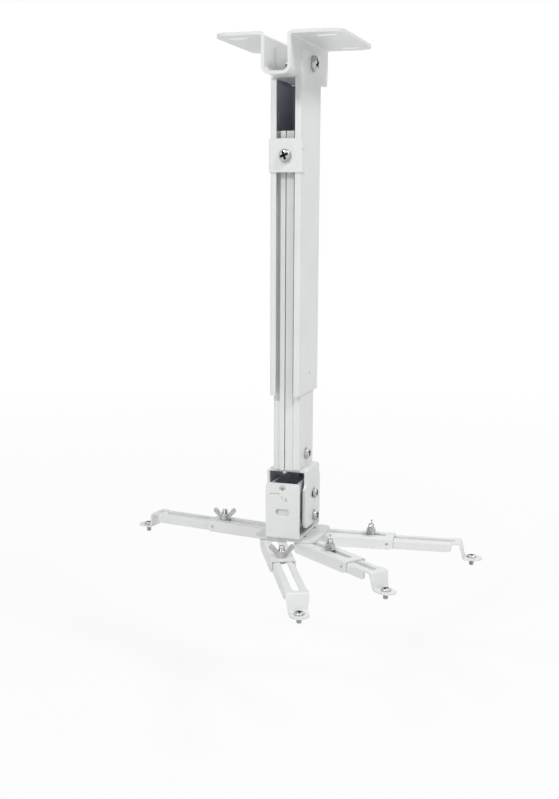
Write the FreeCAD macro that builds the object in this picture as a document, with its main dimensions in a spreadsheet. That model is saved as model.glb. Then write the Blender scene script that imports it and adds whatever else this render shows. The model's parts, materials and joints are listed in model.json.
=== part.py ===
import FreeCAD, Part
import math
import os

import Sketcher

# Adjustable ceiling mount: a slotted bracket, a two-piece sliding column, a head that
# pitches, rolls and swivels, and four slotted arms with feet.
# Millimetres. +Z is up, +X to the right and +Y away from the front.
# The origin is on the ceiling plane, in the middle of the bracket's four slots.

document = FreeCAD.newDocument("CeilingMount")
sheet = document.addObject("Spreadsheet::Sheet", "Dimensions")

SIZES = [
    ("bracket_sheet", 3.0, "sheet of the ceiling bracket"),
    ("flange_width", 120.0, "bracket across both flanges"),
    ("flange_front", 62.0, "flanges in front of the column axis"),
    ("flange_rear", 58.0, "flanges behind the column axis"),
    ("flange_corner", 15.0, "rounded flange corners"),
    ("flange_bend", 1.5, "inner radius where a flange turns down"),
    ("bracket_drop", 36.0, "depth of the bracket below the ceiling"),
    ("web_length", 28.0, "front web that ties the two legs"),
    ("web_bend", 5.0, "inner radius between leg and web"),
    ("leg_corner", 5.0, "rounded rear corners of the legs"),
    ("ceiling_slot_length", 20.0, "ceiling slots, end to end"),
    ("ceiling_slot_width", 8.0, "ceiling slots, across"),
    ("ceiling_slot_x", 41.5, "slot centres to each side"),
    ("ceiling_slot_y", 43.0, "slot centres to front and rear"),
    ("column_width", 30.0, "outer column across"),
    ("column_depth", 64.0, "outer column front to back"),
    ("column_wall", 1.2, "outer column sheet"),
    ("column_bend", 0.6, "inner radius of the outer column"),
    ("column_lip", 6.0, "front lips beside the open slot"),
    ("column_drop", 10.5, "top of the outer column below the ceiling"),
    ("column_length", 316.5, "outer column length"),
    ("column_hole", 3.0, "small hole near the column foot"),
    ("column_hole_y", 3.0, "that hole behind the column axis"),
    ("column_hole_rise", 19.0, "that hole above the column foot"),
    ("leg_gap", 0.05, "bracket leg to column wall"),
    ("slit_gap", 0.5, "room around a wall in its slit"),
    ("cross_bolt_y", 3.4, "cross bolt behind the column axis"),
    ("cross_bolt_drop", 20.6, "cross bolt below the ceiling"),
    ("cross_head", 14.6, "cross bolt head across"),
    ("cross_head_height", 4.8, "cross bolt head height"),
    ("mast_let_down", 81.4, "top of the inner column below the ceiling"),
    ("mast_length", 320.5, "inner column length"),
    ("mast_depth", 48.1, "inner column front to back"),
    ("mast_wall", 1.5, "inner column sheet"),
    ("mast_corner", 2.0, "outer corners of the inner column"),
    ("mast_side_gap", 0.3, "inner to outer column, each side"),
    ("mast_front_gap", 6.2, "inner column to the front lips"),
    ("rib_width", 13.4, "raised front rib"),
    ("rib_rise", 1.6, "how far the rib stands out"),
    ("seam_offset", 1.2, "seam to the left of the rib's middle"),
    ("seam_gap", 0.8, "seam between the two sheet edges"),
    ("guide_width", 18.0, "plastic guide across"),
    ("guide_height", 24.0, "plastic guide height"),
    ("guide_spacing", 55.0, "between the two guides"),
    ("guide_drop", 2.0, "upper guide below the top of the inner column"),
    ("guide_gap", 0.3, "guide to the outer column's back"),
    ("guide_peg", 6.0, "peg that clips into the inner column"),
    ("guide_peg_length", 3.0, "length of that peg"),
    ("clip_drop", 22.0, "clip screw below the top of the inner column"),
    ("clip_height", 30.0, "clamp clip height"),
    ("clip_sheet", 1.0, "clamp clip sheet"),
    ("clip_gap", 0.15, "clip to the outer column"),
    ("clip_return", 10.0, "how far the clip wraps back"),
    ("clip_hole", 3.0, "small hole in the clip's side"),
    ("clip_hole_rise", 5.0, "that hole above the clip screw"),
    ("clip_bend", 0.5, "inner radius of the clip's bends"),
    ("nut_plate", 4.0, "nut plate thickness"),
    ("nut_plate_height", 18.0, "nut plate height"),
    ("nut_plate_gap", 1.0, "nut plate to the inner column's side walls"),
    ("plug_height", 30.0, "plug in the foot of the inner column"),
    ("plug_depth", 36.0, "plug front to back"),
    ("plug_sheet", 2.5, "plug sheet"),
    ("plug_gap", 0.1, "plug to the inner column"),
    ("plug_screw_height", 13.9, "plug screws above the column foot"),
    ("plug_screw_y", -2.8, "plug screws from the column axis"),
    ("head_sheet", 2.5, "sheet of the head's brackets"),
    ("head_bend", 0.5, "inner radius of the head's tight bends"),
    ("yoke_height", 59.6, "yoke height"),
    ("yoke_front", 27.0, "lower yoke plates in front of the axis"),
    ("yoke_rear", 23.0, "yoke plates behind the axis"),
    ("yoke_step", 5.0, "upper front edge set back"),
    ("yoke_step_drop", 18.1, "height of that step"),
    ("yoke_step_bend", 4.0, "hollow corner of that step"),
    ("yoke_step_corner", 2.0, "rounded corner of that step"),
    ("yoke_bend", 1.0, "inner radius of the yoke's bends"),
    ("yoke_corner", 8.0, "lower corners of the yoke plates"),
    ("pitch_pivot_y", 4.5, "pitch pivot behind the axis"),
    ("pitch_pivot_drop", 51.6, "pitch pivot below the yoke's top"),
    ("pitch_slot_radius", 23.5, "arc slot about the pitch pivot"),
    ("pitch_slot_angle", 12.0, "half the arc of the pitch slot"),
    ("block_width", 29.4, "pitch block across"),
    ("block_depth", 67.2, "pitch block front to back"),
    ("block_below", 6.5, "pitch block below its pivot"),
    ("block_above", 38.9, "pitch block above its pivot"),
    ("spacer", 3.0, "plastic spacer beside the block"),
    ("spacer_radius", 8.0, "plastic spacer radius"),
    ("head_gap", 0.3, "between sheets that turn on each other"),
    ("roll_pivot_rise", 35.1, "roll pivot above the pitch pivot"),
    ("roll_slot_radius", 24.6, "arc slot about the roll pivot"),
    ("roll_slot_angle", 8.9, "half the arc of the roll slot"),
    ("tray_width", 35.0, "roll bracket across"),
    ("tray_above", 5.0, "roll bracket above its pivot"),
    ("tray_drop", 52.1, "roll bracket below its pivot"),
    ("tray_corner", 4.0, "upper corners of the roll bracket"),
    ("lock_slot", 6.6, "width of both arc slots"),
    ("washer", 0.6, "plastic washer of the swivel"),
    ("washer_gap", 0.1, "washer to the hub plate"),
    ("hub_size", 64.0, "square hub plate"),
    ("hub_plate", 2.5, "hub plate thickness"),
    ("hub_corner", 8.0, "hub plate corners"),
    ("arm_pivot", 17.0, "arm pivots from the swivel axis, in X and in Y"),
    ("arm_gap", 0.3, "between arms and hub, and arm in arm"),
    ("arm_sheet", 1.5, "sheet of both arms"),
    ("arm_bend", 0.8, "inner bend radius of the arms"),
    ("outer_arm_width", 24.5, "outer arm across"),
    ("outer_arm_side", 12.0, "outer arm sides, top to bottom"),
    ("outer_arm_corner", 4.0, "rounded lower corners of the outer arm's sides"),
    ("outer_arm_length", 84.0, "outer arm from its pivot to its end"),
    ("outer_slot_start", 15.0, "outer slot begins, from the pivot"),
    ("outer_slot_margin", 8.0, "outer slot to the outer arm's end"),
    ("side_hole", 3.0, "small holes in the outer arm's sides"),
    ("side_hole_margin", 6.0, "side holes to the outer arm's end"),
    ("side_hole_drop", 6.6, "side holes below the outer arm's top"),
    ("arm_slot_width", 6.8, "slot width in both arms"),
    ("inner_arm_side", 9.5, "inner arm sides, top to bottom"),
    ("inner_arm_corner", 3.2, "rounded lower corners of the inner arm's sides"),
    ("inner_arm_web", 109.0, "inner arm from its tail to its bend"),
    ("inner_side_end", 9.0, "sides stop short of the bend"),
    ("inner_slot_margin", 4.0, "inner slot to tail and bend"),
    ("inner_arm_gap", 0.3, "inner arm to the outer arm's sides"),
    ("foot_reach", 11.0, "foot hole beyond the bend"),
    ("foot_lean", 4.0, "how far the tab leans outwards"),
    ("foot_width", 17.6, "foot plate across"),
    ("tab_shoulder", 3.0, "height over which the tab keeps its full width"),
    ("foot_drop", 17.5, "foot plane below the inner arm's top"),
    ("foot_end", 10.4, "foot plate beyond its hole"),
    ("foot_hole", 5.4, "hole for the foot screw"),
    ("bolt_m6", 6.0, "M6 shank"),
    ("bolt_m8", 8.0, "M8 shank"),
    ("bolt_m5", 5.0, "M5 shank"),
    ("hole_gap", 0.2, "hole to a shank of the same body"),
    ("thread_gap", 0.02, "nut or tapped hole to its shank"),
    ("bolt_end", 2.0, "long bolts beyond their nut"),
    ("screw_end", 1.0, "short screws beyond their nut or thread"),
    ("running_gap", 0.08, "hole to a shank that turns in it"),
    ("pan_head_m6", 11.6, "M6 pan head across"),
    ("pan_height_m6", 4.6, "M6 pan head height"),
    ("nut_m6", 10.0, "M6 nut across flats"),
    ("nut_m6_height", 5.0, "M6 nut height"),
    ("nut_m8", 13.0, "M8 nut across flats"),
    ("nut_m8_height", 6.5, "M8 nut height"),
    ("head_m8_height", 5.0, "M8 bolt head height"),
    ("cap_head_m8", 16.0, "M8 round head across"),
    ("cap_height_m8", 3.6, "M8 round head height"),
    ("lock_head", 10.6, "small lock screw head across"),
    ("lock_head_height", 3.6, "small lock screw head height"),
    ("foot_head", 9.5, "foot screw head across"),
    ("foot_head_height", 2.6, "foot screw head height"),
    ("foot_neck", 4.4, "foot screw's neck in the foot plate, across"),
    ("foot_neck_gap", 0.5, "neck below the foot plate"),
    ("foot_thread", 6.0, "foot screw's thread below its neck"),
    ("rivet", 4.0, "roll pivot rivets"),
    ("rivet_head", 6.4, "roll rivet heads"),
    ("rivet_head_height", 1.2, "roll rivet head height"),
    ("clamp_bolt_rise", 11.0, "clamp bolts above the outer arm"),
    ("clamp_head", 11.6, "clamp bolt heads under the inner arm"),
    ("clamp_head_height", 3.4, "clamp bolt head height"),
    ("wing_span", 24.0, "wing nut tip to tip"),
    ("wing_height", 12.6, "wing nut height"),
    ("wing_sheet", 2.4, "wing thickness"),
    ("wing_base", 10.4, "wing nut base across"),
    ("wing_base_top", 8.8, "wing nut base across at its top"),
    ("wing_base_height", 6.6, "wing nut base height"),
    ("wing_root", 7.6, "between the roots of the wings"),
    ("wing_toe", 1.0, "wings begin above the base's foot"),
    ("wing_low_corner", 8.4, "lower tip corner above the base's foot"),
    ("wing_high_corner", 11.4, "upper tip corner above the base's foot"),
    ("wing_top_corner", 20.6, "between the upper corners of the wings"),
    ("wing_shoulder", 16.4, "between the inner corners of the wings"),
    ("wing_shoulder_drop", 0.8, "inner corners below the wings' top"),
    ("wing_gap", 0.2, "wing nut above the outer arm"),
    ("wing_bore_gap", 0.06, "wing nut to its bolt"),
    ("arm_a_angle", -64.3, "front left arm's direction"),
    ("arm_b_angle", -37.6, "front right arm's direction"),
    ("arm_c_angle", 6.0, "rear right arm's direction"),
    ("arm_d_angle", 170.5, "rear left arm's direction"),
    ("clamp_a_back", 4.0, "clamp bolt a from the end of the outer slot"),
    ("clamp_b_out", 29.0, "clamp bolt b from the start of the outer slot"),
    ("clamp_c_back", 16.0, "clamp bolt c from the end of the outer slot"),
    ("clamp_d_back", 6.5, "clamp bolt d from the end of the outer slot"),
    ("wing_a_turn", 18.0, "wing nut a turned from the X axis"),
    ("wing_b_turn", 105.0, "wing nut b turned from the X axis"),
    ("wing_c_turn", 100.0, "wing nut c turned from the X axis"),
    ("wing_d_turn", 10.0, "wing nut d turned from the X axis"),
    ("inner_a_lap", 8.0, "clamp bolt a beyond its inner arm's tail"),
    ("inner_b_lap", 34.0, "clamp bolt b beyond its inner arm's tail"),
    ("inner_c_lap", 17.0, "clamp bolt c beyond its inner arm's tail"),
    ("inner_d_lap", 21.5, "clamp bolt d beyond its inner arm's tail"),
]

for row, (name, value, meaning) in enumerate(SIZES, start=1):
    sheet.set("A%d" % row, name)
    sheet.set("B%d" % row, str(value))
    sheet.set("C%d" % row, meaning)
    sheet.setAlias("B%d" % row, name)
document.recompute()


class Size:
    """A length or an angle, as a number and as the sheet formula that gives it."""

    def __init__(self, value, formula):
        self.value = value
        self.formula = formula

    def __add__(self, other):
        other = as_size(other)
        return Size(self.value + other.value, "(%s + %s)" % (self.formula, other.formula))

    def __radd__(self, other):
        return as_size(other) + self

    def __sub__(self, other):
        other = as_size(other)
        return Size(self.value - other.value, "(%s - %s)" % (self.formula, other.formula))

    def __rsub__(self, other):
        return as_size(other) - self

    def __mul__(self, other):
        other = as_size(other)
        return Size(self.value * other.value, "(%s * %s)" % (self.formula, other.formula))

    def __rmul__(self, other):
        return as_size(other) * self

    def __truediv__(self, other):
        other = as_size(other)
        return Size(self.value / other.value, "(%s / %s)" % (self.formula, other.formula))

    def __neg__(self):
        return Size(-self.value, "(0 - %s)" % self.formula)


def as_size(number):
    """Let a plain number stand where a size is wanted."""
    if isinstance(number, Size):
        return number
    return Size(float(number), repr(float(number)))


def sine(angle):
    return Size(math.sin(math.radians(angle.value)), "sin(%s)" % angle.formula)


def cosine(angle):
    return Size(math.cos(math.radians(angle.value)), "cos(%s)" % angle.formula)


def size(name):
    """The size that the sheet keeps under this name."""
    return Size(float(sheet.get(name)), "Dimensions." + name)


def vector(x, y, z=0):
    return FreeCAD.Vector(as_size(x).value, as_size(y).value, as_size(z).value)


X_AXIS = FreeCAD.Vector(1, 0, 0)
Y_AXIS = FreeCAD.Vector(0, 1, 0)
Z_AXIS = FreeCAD.Vector(0, 0, 1)

parts = []


def new_body(label):
    body = document.addObject("PartDesign::Body", label)
    body.Label = label
    return body


def finish(item):
    """Put a finished sub-part on the list of what is written out."""
    parts.append(item)
    return item


def group(label, members):
    """Keep equal fasteners together as separate solids of one sub-part."""
    compound = document.addObject("Part::Compound", label)
    compound.Label = label
    compound.Links = members
    return finish(compound)


def place(item, x, y, z, axis=Z_AXIS, angle=0):
    """Set where a sub-part stands and how it is turned, bound to the sheet."""
    angle = as_size(angle)
    item.Placement = FreeCAD.Placement(vector(x, y, z), FreeCAD.Rotation(axis, angle.value))
    item.setExpression("Placement.Base.x", as_size(x).formula)
    item.setExpression("Placement.Base.y", as_size(y).formula)
    item.setExpression("Placement.Base.z", as_size(z).formula)
    if "Dimensions" in angle.formula:
        item.setExpression("Placement.Rotation.Angle", angle.formula)


def new_sketch(body, role, name, offset=0):
    """A sketch on one of the body's own origin planes, shifted along its normal."""
    plane = [item for item in body.Origin.OriginFeatures if item.Role == role][0]
    sketch = body.newObject("Sketcher::SketchObject", name)
    sketch.AttachmentSupport = [(plane, "")]
    sketch.MapMode = "FlatFace"
    sketch.setExpression("AttachmentOffset.Base.z", as_size(offset).formula)
    return sketch


def constrain(sketch, bound):
    """Add sketch constraints, each with the formula that drives it."""
    first = sketch.ConstraintCount
    sketch.addConstraint([constraint for constraint, formula in bound])
    for index, (constraint, formula) in enumerate(bound, start=first):
        if formula:
            sketch.setExpression("Constraints[%d]" % index, formula)


def at_point(geometry, point, x, y):
    """Hold one point of a sketch element at two coordinates."""
    return [
        (Sketcher.Constraint("DistanceX", -1, 1, geometry, point, x.value), x.formula),
        (Sketcher.Constraint("DistanceY", -1, 1, geometry, point, y.value), y.formula),
    ]


def hold_centre(geometry, start, end, arc):
    """Hold the one coordinate of an arc's centre that its two ends leave free."""
    centre_x = as_size(arc[1])
    centre_y = as_size(arc[2])
    if abs(end[0].value - start[0].value) > abs(end[1].value - start[1].value):
        return Sketcher.Constraint("DistanceY", -1, 1, geometry, 3, centre_y.value), centre_y.formula
    return Sketcher.Constraint("DistanceX", -1, 1, geometry, 3, centre_x.value), centre_x.formula


def trace(sketch, corners, arcs):
    """Draw a closed line through the corners. arcs maps the number of a side to its
    radius, its centre and whether it runs clockwise."""
    corners = [(as_size(x), as_size(y)) for x, y in corners]
    elements = []
    ends = []
    for side, (start_x, start_y) in enumerate(corners):
        end_x, end_y = corners[(side + 1) % len(corners)]
        if side in arcs:
            radius, centre_x, centre_y, clockwise = arcs[side]
            centre = vector(centre_x, centre_y)
            first = math.atan2(start_y.value - centre.y, start_x.value - centre.x)
            last = math.atan2(end_y.value - centre.y, end_x.value - centre.x)
            circle = Part.Circle(centre, Z_AXIS, as_size(radius).value)
            if clockwise:
                first, last = last, first
            if last <= first:
                last += 2 * math.pi
            elements.append(Part.ArcOfCircle(circle, first, last))
            ends.append((2, 1) if clockwise else (1, 2))
        else:
            elements.append(Part.LineSegment(vector(start_x, start_y), vector(end_x, end_y)))
            ends.append((1, 2))
    numbers = sketch.addGeometry(elements, False)
    bound = []
    for side, number in enumerate(numbers):
        following = (side + 1) % len(numbers)
        joint = Sketcher.Constraint(
            "Coincident", number, ends[side][1], numbers[following], ends[following][0])
        bound.append((joint, None))
        bound += at_point(number, ends[side][0], corners[side][0], corners[side][1])
        if side in arcs:
            bound.append(hold_centre(number, corners[side], corners[following], arcs[side]))
    constrain(sketch, bound)


def direction(start, end):
    """Unit step along a side that runs along X or along Y."""
    step_x = as_size(end[0]).value - as_size(start[0]).value
    step_y = as_size(end[1]).value - as_size(start[1]).value
    if abs(step_x) > abs(step_y):
        return math.copysign(1, step_x), 0
    return 0, math.copysign(1, step_y)


def outline(sketch, corners):
    """Draw a closed outline. A corner with a third value is rounded to that radius,
    and lies between a side along X and a side along Y."""
    points = []
    arcs = {}
    for index, corner in enumerate(corners):
        if len(corner) == 2:
            points.append(corner)
            continue
        x, y, radius = corner
        back = direction(corner, corners[index - 1])
        ahead = direction(corner, corners[(index + 1) % len(corners)])
        turn = back[1] * ahead[0] - back[0] * ahead[1]
        centre_x = x + (back[0] + ahead[0]) * radius
        centre_y = y + (back[1] + ahead[1]) * radius
        arcs[len(points)] = (radius, centre_x, centre_y, turn < 0)
        points.append((x + back[0] * radius, y + back[1] * radius))
        points.append((x + ahead[0] * radius, y + ahead[1] * radius))
    trace(sketch, points, arcs)


def rectangle(sketch, left, front, right, rear, radius=None):
    corners = [(left, front), (right, front), (right, rear), (left, rear)]
    if radius is not None:
        corners = [corner + (radius,) for corner in corners]
    outline(sketch, corners)


def circle(sketch, x, y, radius):
    x = as_size(x)
    y = as_size(y)
    radius = as_size(radius)
    number = sketch.addGeometry(Part.Circle(vector(x, y), Z_AXIS, radius.value), False)
    bound = at_point(number, 3, x, y)
    bound.append((Sketcher.Constraint("Radius", number, radius.value), radius.formula))
    constrain(sketch, bound)


def slot(sketch, x, y, length, width):
    """A round-ended slot along the sketch's first axis, centred on a point."""
    radius = width / 2
    left = x - length / 2 + radius
    right = x + length / 2 - radius
    corners = [(left, y - radius), (right, y - radius), (right, y + radius), (left, y + radius)]
    trace(sketch, corners, {1: (radius, right, y, False), 3: (radius, left, y, False)})


def arc_slot(sketch, x, y, radius, width, half_angle, side):
    """A round-ended slot bent about a pivot, above it (side 1) or below it (side -1)."""
    outer = radius + width / 2
    inner = radius - width / 2
    across = sine(half_angle)
    along = cosine(half_angle) * side
    corners = [
        (x - outer * across, y + outer * along),
        (x + outer * across, y + outer * along),
        (x + inner * across, y + inner * along),
        (x - inner * across, y + inner * along),
    ]
    turn = side > 0
    arcs = {
        0: (outer, x, y, turn),
        1: (width / 2, x + radius * across, y + radius * along, turn),
        2: (inner, x, y, not turn),
        3: (width / 2, x - radius * across, y + radius * along, turn),
    }
    trace(sketch, corners, arcs)


def hexagon(sketch, flats):
    """Six corners about the sketch's origin."""
    corner = flats / math.sqrt(3)
    trace(sketch, [
        (corner, 0), (corner / 2, flats / 2), (-corner / 2, flats / 2),
        (-corner, 0), (-corner / 2, -flats / 2), (corner / 2, -flats / 2)], {})


def pad(body, sketch, length, name, back=False, both=False):
    """Add material along the sketch's normal, against it, or half to each side."""
    feature = body.newObject("PartDesign::Pad", name)
    feature.Profile = sketch
    feature.setExpression("Length", as_size(length).formula)
    feature.Reversed = back
    if both:
        feature.SideType = "Symmetric"
    document.recompute()
    return feature


def cut(body, sketch, name, forward=False, both=False, depth=None):
    """Remove material against the sketch's normal, along it, or to both sides."""
    before = body.Tip.Shape.Volume
    feature = body.newObject("PartDesign::Pocket", name)
    feature.Profile = sketch
    if depth is None:
        feature.Type = "ThroughAll"
    else:
        feature.setExpression("Length", as_size(depth).formula)
    feature.Reversed = forward
    if both:
        feature.SideType = "Symmetric"
    document.recompute()
    if feature.Shape.isNull() or feature.Shape.Volume >= before:
        raise RuntimeError("%s of %s removes nothing" % (name, body.Label))
    return feature


def revolve(body, sketch, name):
    feature = body.newObject("PartDesign::Revolution", name)
    feature.Profile = sketch
    feature.ReferenceAxis = (sketch, ["V_Axis"])
    feature.Angle = 360
    document.recompute()
    return feature


def edges_along(body, axis, *coordinates):
    """Names of the straight edges along an axis that pass through the given places.
    Each place gives a coordinate for every axis, or None where any will do."""
    shape = body.Tip.Shape
    found = []
    for number, edge in enumerate(shape.Edges, start=1):
        if edge.Curve.TypeId != "Part::GeomLine":
            continue
        if abs(abs(edge.Curve.Direction.dot(axis)) - 1) > 1e-6:
            continue
        middle = edge.CenterOfMass
        for place_x, place_y, place_z in coordinates:
            wanted = zip((place_x, place_y, place_z), (middle.x, middle.y, middle.z))
            if all(want is None or abs(as_size(want).value - have) < 0.01 for want, have in wanted):
                found.append("Edge%d" % number)
                break
    if not found:
        raise RuntimeError("no edge to round on %s" % body.Label)
    return found


def round_edges(body, name, radius, axis, *coordinates):
    base = body.Tip
    names = edges_along(body, axis, *coordinates)
    feature = body.newObject("PartDesign::Fillet", name)
    feature.Base = (base, names)
    feature.setExpression("Radius", as_size(radius).formula)
    document.recompute()
    return feature


# Levels and half widths that several pieces share.
leg_outside = size("column_width") / 2 - size("column_wall") - size("leg_gap")
leg_inside = leg_outside - size("bracket_sheet")
column_half = size("column_width") / 2
column_front = -size("column_depth") / 2
column_inside_front = column_front + size("column_wall")
column_inside_rear = -column_front - size("column_wall")
cross_bolt_z = -size("cross_bolt_drop")
mast_half = column_half - size("column_wall") - size("mast_side_gap")
mast_front = column_inside_front + size("mast_front_gap")
mast_rear = mast_front + size("mast_depth")
rib_front = mast_front - size("rib_rise")
mast_top_z = -size("mast_let_down")
mast_foot_z = mast_top_z - size("mast_length")
clip_z = mast_top_z - size("clip_drop")
clip_back = column_front - size("clip_gap")
clip_front = clip_back - size("clip_sheet")
plug_screw_z = mast_foot_z + size("plug_screw_height")
pitch_z = mast_foot_z - size("pitch_pivot_drop")
pitch_y = size("pitch_pivot_y")
block_half = size("block_width") / 2
yoke_inside = block_half + size("spacer") + size("head_gap")
yoke_outside = yoke_inside + size("head_sheet")
roll_z = pitch_z + size("roll_pivot_rise")
block_front = -size("block_depth") / 2
tray_inside = size("block_depth") / 2 + size("head_gap")
tray_outside = tray_inside + size("head_sheet")
tray_foot_z = roll_z - size("tray_drop")
hub_top_z = tray_foot_z - size("washer") - size("washer_gap")
hub_foot_z = hub_top_z - size("hub_plate")
outer_arm_z = hub_foot_z - size("arm_gap")
inner_arm_z = outer_arm_z - size("arm_sheet") - size("arm_gap")
inner_arm_half = size("outer_arm_width") / 2 - size("arm_sheet") - size("inner_arm_gap")
hole_m6 = size("bolt_m6") / 2 + size("hole_gap")
tapped_m6 = size("bolt_m6") / 2 + size("thread_gap")
running_m6 = size("bolt_m6") / 2 + size("running_gap")
outer_slot_start = size("outer_slot_start")
outer_slot_end = size("outer_arm_length") - size("outer_slot_margin")
clamp_along = {
    "a": outer_slot_end - size("clamp_a_back"),
    "b": outer_slot_start + size("clamp_b_out"),
    "c": outer_slot_end - size("clamp_c_back"),
    "d": outer_slot_end - size("clamp_d_back"),
}


# Shape of a screw head, as shares of its height or of its width.
BEVEL_HEIGHT = 0.45
BEVEL_SLOPE = 1.3
CROSS_REACH = 0.27
CROSS_ARM = 0.07
CROSS_DEPTH = 0.6


def screw(label, shank, length, head, head_height, recess=True, neck=None):
    """A screw along Z: its head stands on z = 0 and the shank hangs below. The head's
    upper edge is bevelled, and a cross recess is cut into it. A neck is a narrower
    stretch under the head, as its width and its length."""
    body = new_body(label)
    profile = new_sketch(body, "XZ_Plane", "Profile")
    bevel = head_height * BEVEL_HEIGHT
    under_head = [(shank / 2, 0)]
    if neck is not None:
        width, height = neck
        under_head = [(shank / 2, -height), (width / 2, -height), (width / 2, 0)]
    trace(profile, [(0, -length), (shank / 2, -length)] + under_head + [
        (head / 2, 0), (head / 2, head_height - bevel),
        (head / 2 - bevel * BEVEL_SLOPE, head_height), (0, head_height)], {})
    revolve(body, profile, "Turned")
    if recess:
        cross = new_sketch(body, "XY_Plane", "Cross", head_height)
        reach = head * CROSS_REACH
        arm = head * CROSS_ARM
        outline(cross, [
            (reach, -arm), (reach, arm), (arm, arm), (arm, reach), (-arm, reach), (-arm, arm),
            (-reach, arm), (-reach, -arm), (-arm, -arm), (-arm, -reach), (arm, -reach),
            (arm, -arm)])
        cut(body, cross, "Recess", depth=head_height * CROSS_DEPTH)
    return body


def hex_bolt(label, shank, length, flats, head_height):
    """A hexagon bolt along Z: its head stands on z = 0 and the shank hangs below."""
    body = new_body(label)
    head = new_sketch(body, "XY_Plane", "Head")
    hexagon(head, flats)
    pad(body, head, head_height, "HeadPad")
    shaft = new_sketch(body, "XY_Plane", "Shank")
    circle(shaft, 0, 0, shank / 2)
    pad(body, shaft, length, "ShankPad", back=True)
    return body


def nut(label, flats, shank, height):
    """A hexagon nut that hangs below z = 0."""
    body = new_body(label)
    ring = new_sketch(body, "XY_Plane", "Ring")
    hexagon(ring, flats)
    circle(ring, 0, 0, shank / 2 + size("thread_gap"))
    pad(body, ring, height, "RingPad", back=True)
    return body


def build_ceiling_bracket():
    """Folded hat section: two slotted flanges, two legs, and a web at the front only."""
    body = new_body("ceiling_bracket")
    sheet_size = size("bracket_sheet")
    half = size("flange_width") / 2
    foot = -size("bracket_drop")
    outer_bend = size("flange_bend") + sheet_size
    web_outer = size("web_bend") + sheet_size
    front = new_sketch(body, "XZ_Plane", "FrontSection", size("flange_front"))
    outline(front, [
        (half, 0), (leg_inside, 0, outer_bend), (leg_inside, foot + sheet_size, size("web_bend")),
        (-leg_inside, foot + sheet_size, size("web_bend")), (-leg_inside, 0, outer_bend),
        (-half, 0), (-half, -sheet_size), (-leg_outside, -sheet_size, size("flange_bend")),
        (-leg_outside, foot, web_outer), (leg_outside, foot, web_outer),
        (leg_outside, -sheet_size, size("flange_bend")), (half, -sheet_size)])
    pad(body, front, size("web_length"), "FrontPad", back=True)
    web_end = size("flange_front") - size("web_length")
    rear = new_sketch(body, "XZ_Plane", "RearSection", web_end)
    for side in (1, -1):
        outline(rear, [
            (half * side, 0), (leg_inside * side, 0, outer_bend), (leg_inside * side, foot),
            (leg_outside * side, foot), (leg_outside * side, -sheet_size, size("flange_bend")),
            (half * side, -sheet_size)])
    pad(body, rear, web_end + size("flange_rear"), "RearPad", back=True)
    slots = new_sketch(body, "XY_Plane", "Slots")
    for x in (-size("ceiling_slot_x"), size("ceiling_slot_x")):
        for y in (-size("ceiling_slot_y"), size("ceiling_slot_y")):
            slot(slots, x, y, size("ceiling_slot_length"), size("ceiling_slot_width"))
    cut(body, slots, "SlotCut")
    slits = new_sketch(body, "YZ_Plane", "LipSlit")
    slit_half = size("column_wall") / 2 + size("slit_gap")
    slit_y = column_front + size("column_wall") / 2
    slit_top = size("slit_gap") - size("column_drop") - slit_half
    below = foot - sheet_size
    trace(slits, [
        (slit_y + slit_half, below), (slit_y + slit_half, slit_top),
        (slit_y - slit_half, slit_top), (slit_y - slit_half, below)],
        {1: (slit_half, slit_y, slit_top, False)})
    cut(body, slits, "SlitCut", both=True)
    bolt = new_sketch(body, "YZ_Plane", "BoltHole")
    circle(bolt, size("cross_bolt_y"), cross_bolt_z, hole_m6)
    cut(body, bolt, "BoltCut", both=True)
    round_edges(body, "FlangeCorners", size("flange_corner"), Z_AXIS,
                (half, None, None), (-half, None, None))
    round_edges(body, "LegCorners", size("leg_corner"), X_AXIS,
                (None, size("flange_rear"), foot))
    place(body, 0, 0, 0)
    return finish(body)


def build_outer_column():
    """Channel with front lips; its back is notched at the top for the bracket's legs."""
    body = new_body("outer_column")
    wall = size("column_wall")
    outer_bend = size("column_bend") + wall
    inner_bend = size("column_bend")
    lip = column_half - size("column_lip")
    section = new_sketch(body, "XY_Plane", "Section")
    outline(section, [
        (lip, column_front), (column_half, column_front, outer_bend),
        (column_half, -column_front, outer_bend), (-column_half, -column_front, outer_bend),
        (-column_half, column_front, outer_bend), (-lip, column_front),
        (-lip, column_inside_front), (wall - column_half, column_inside_front, inner_bend),
        (wall - column_half, column_inside_rear, inner_bend),
        (column_half - wall, column_inside_rear, inner_bend),
        (column_half - wall, column_inside_front, inner_bend), (lip, column_inside_front)])
    pad(body, section, size("column_length"), "Length", back=True)
    notches = new_sketch(body, "XZ_Plane", "LegNotches")
    notch_foot = size("column_drop") - size("bracket_drop") - size("slit_gap")
    for side in (1, -1):
        outline(notches, [
            ((leg_inside - size("slit_gap")) * side, wall), ((leg_outside + inner_bend) * side, wall),
            ((leg_outside + inner_bend) * side, notch_foot),
            ((leg_inside - size("slit_gap")) * side, notch_foot)])
    cut(body, notches, "NotchCut")
    bolt = new_sketch(body, "YZ_Plane", "BoltHole")
    circle(bolt, size("cross_bolt_y"), size("column_drop") + cross_bolt_z, hole_m6)
    cut(body, bolt, "BoltCut", both=True)
    small = new_sketch(body, "YZ_Plane", "FootHole")
    circle(small, size("column_hole_y"), size("column_hole_rise") - size("column_length"),
           size("column_hole") / 2)
    cut(body, small, "FootHoleCut", forward=True)
    place(body, 0, 0, -size("column_drop"))
    return finish(body)


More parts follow.
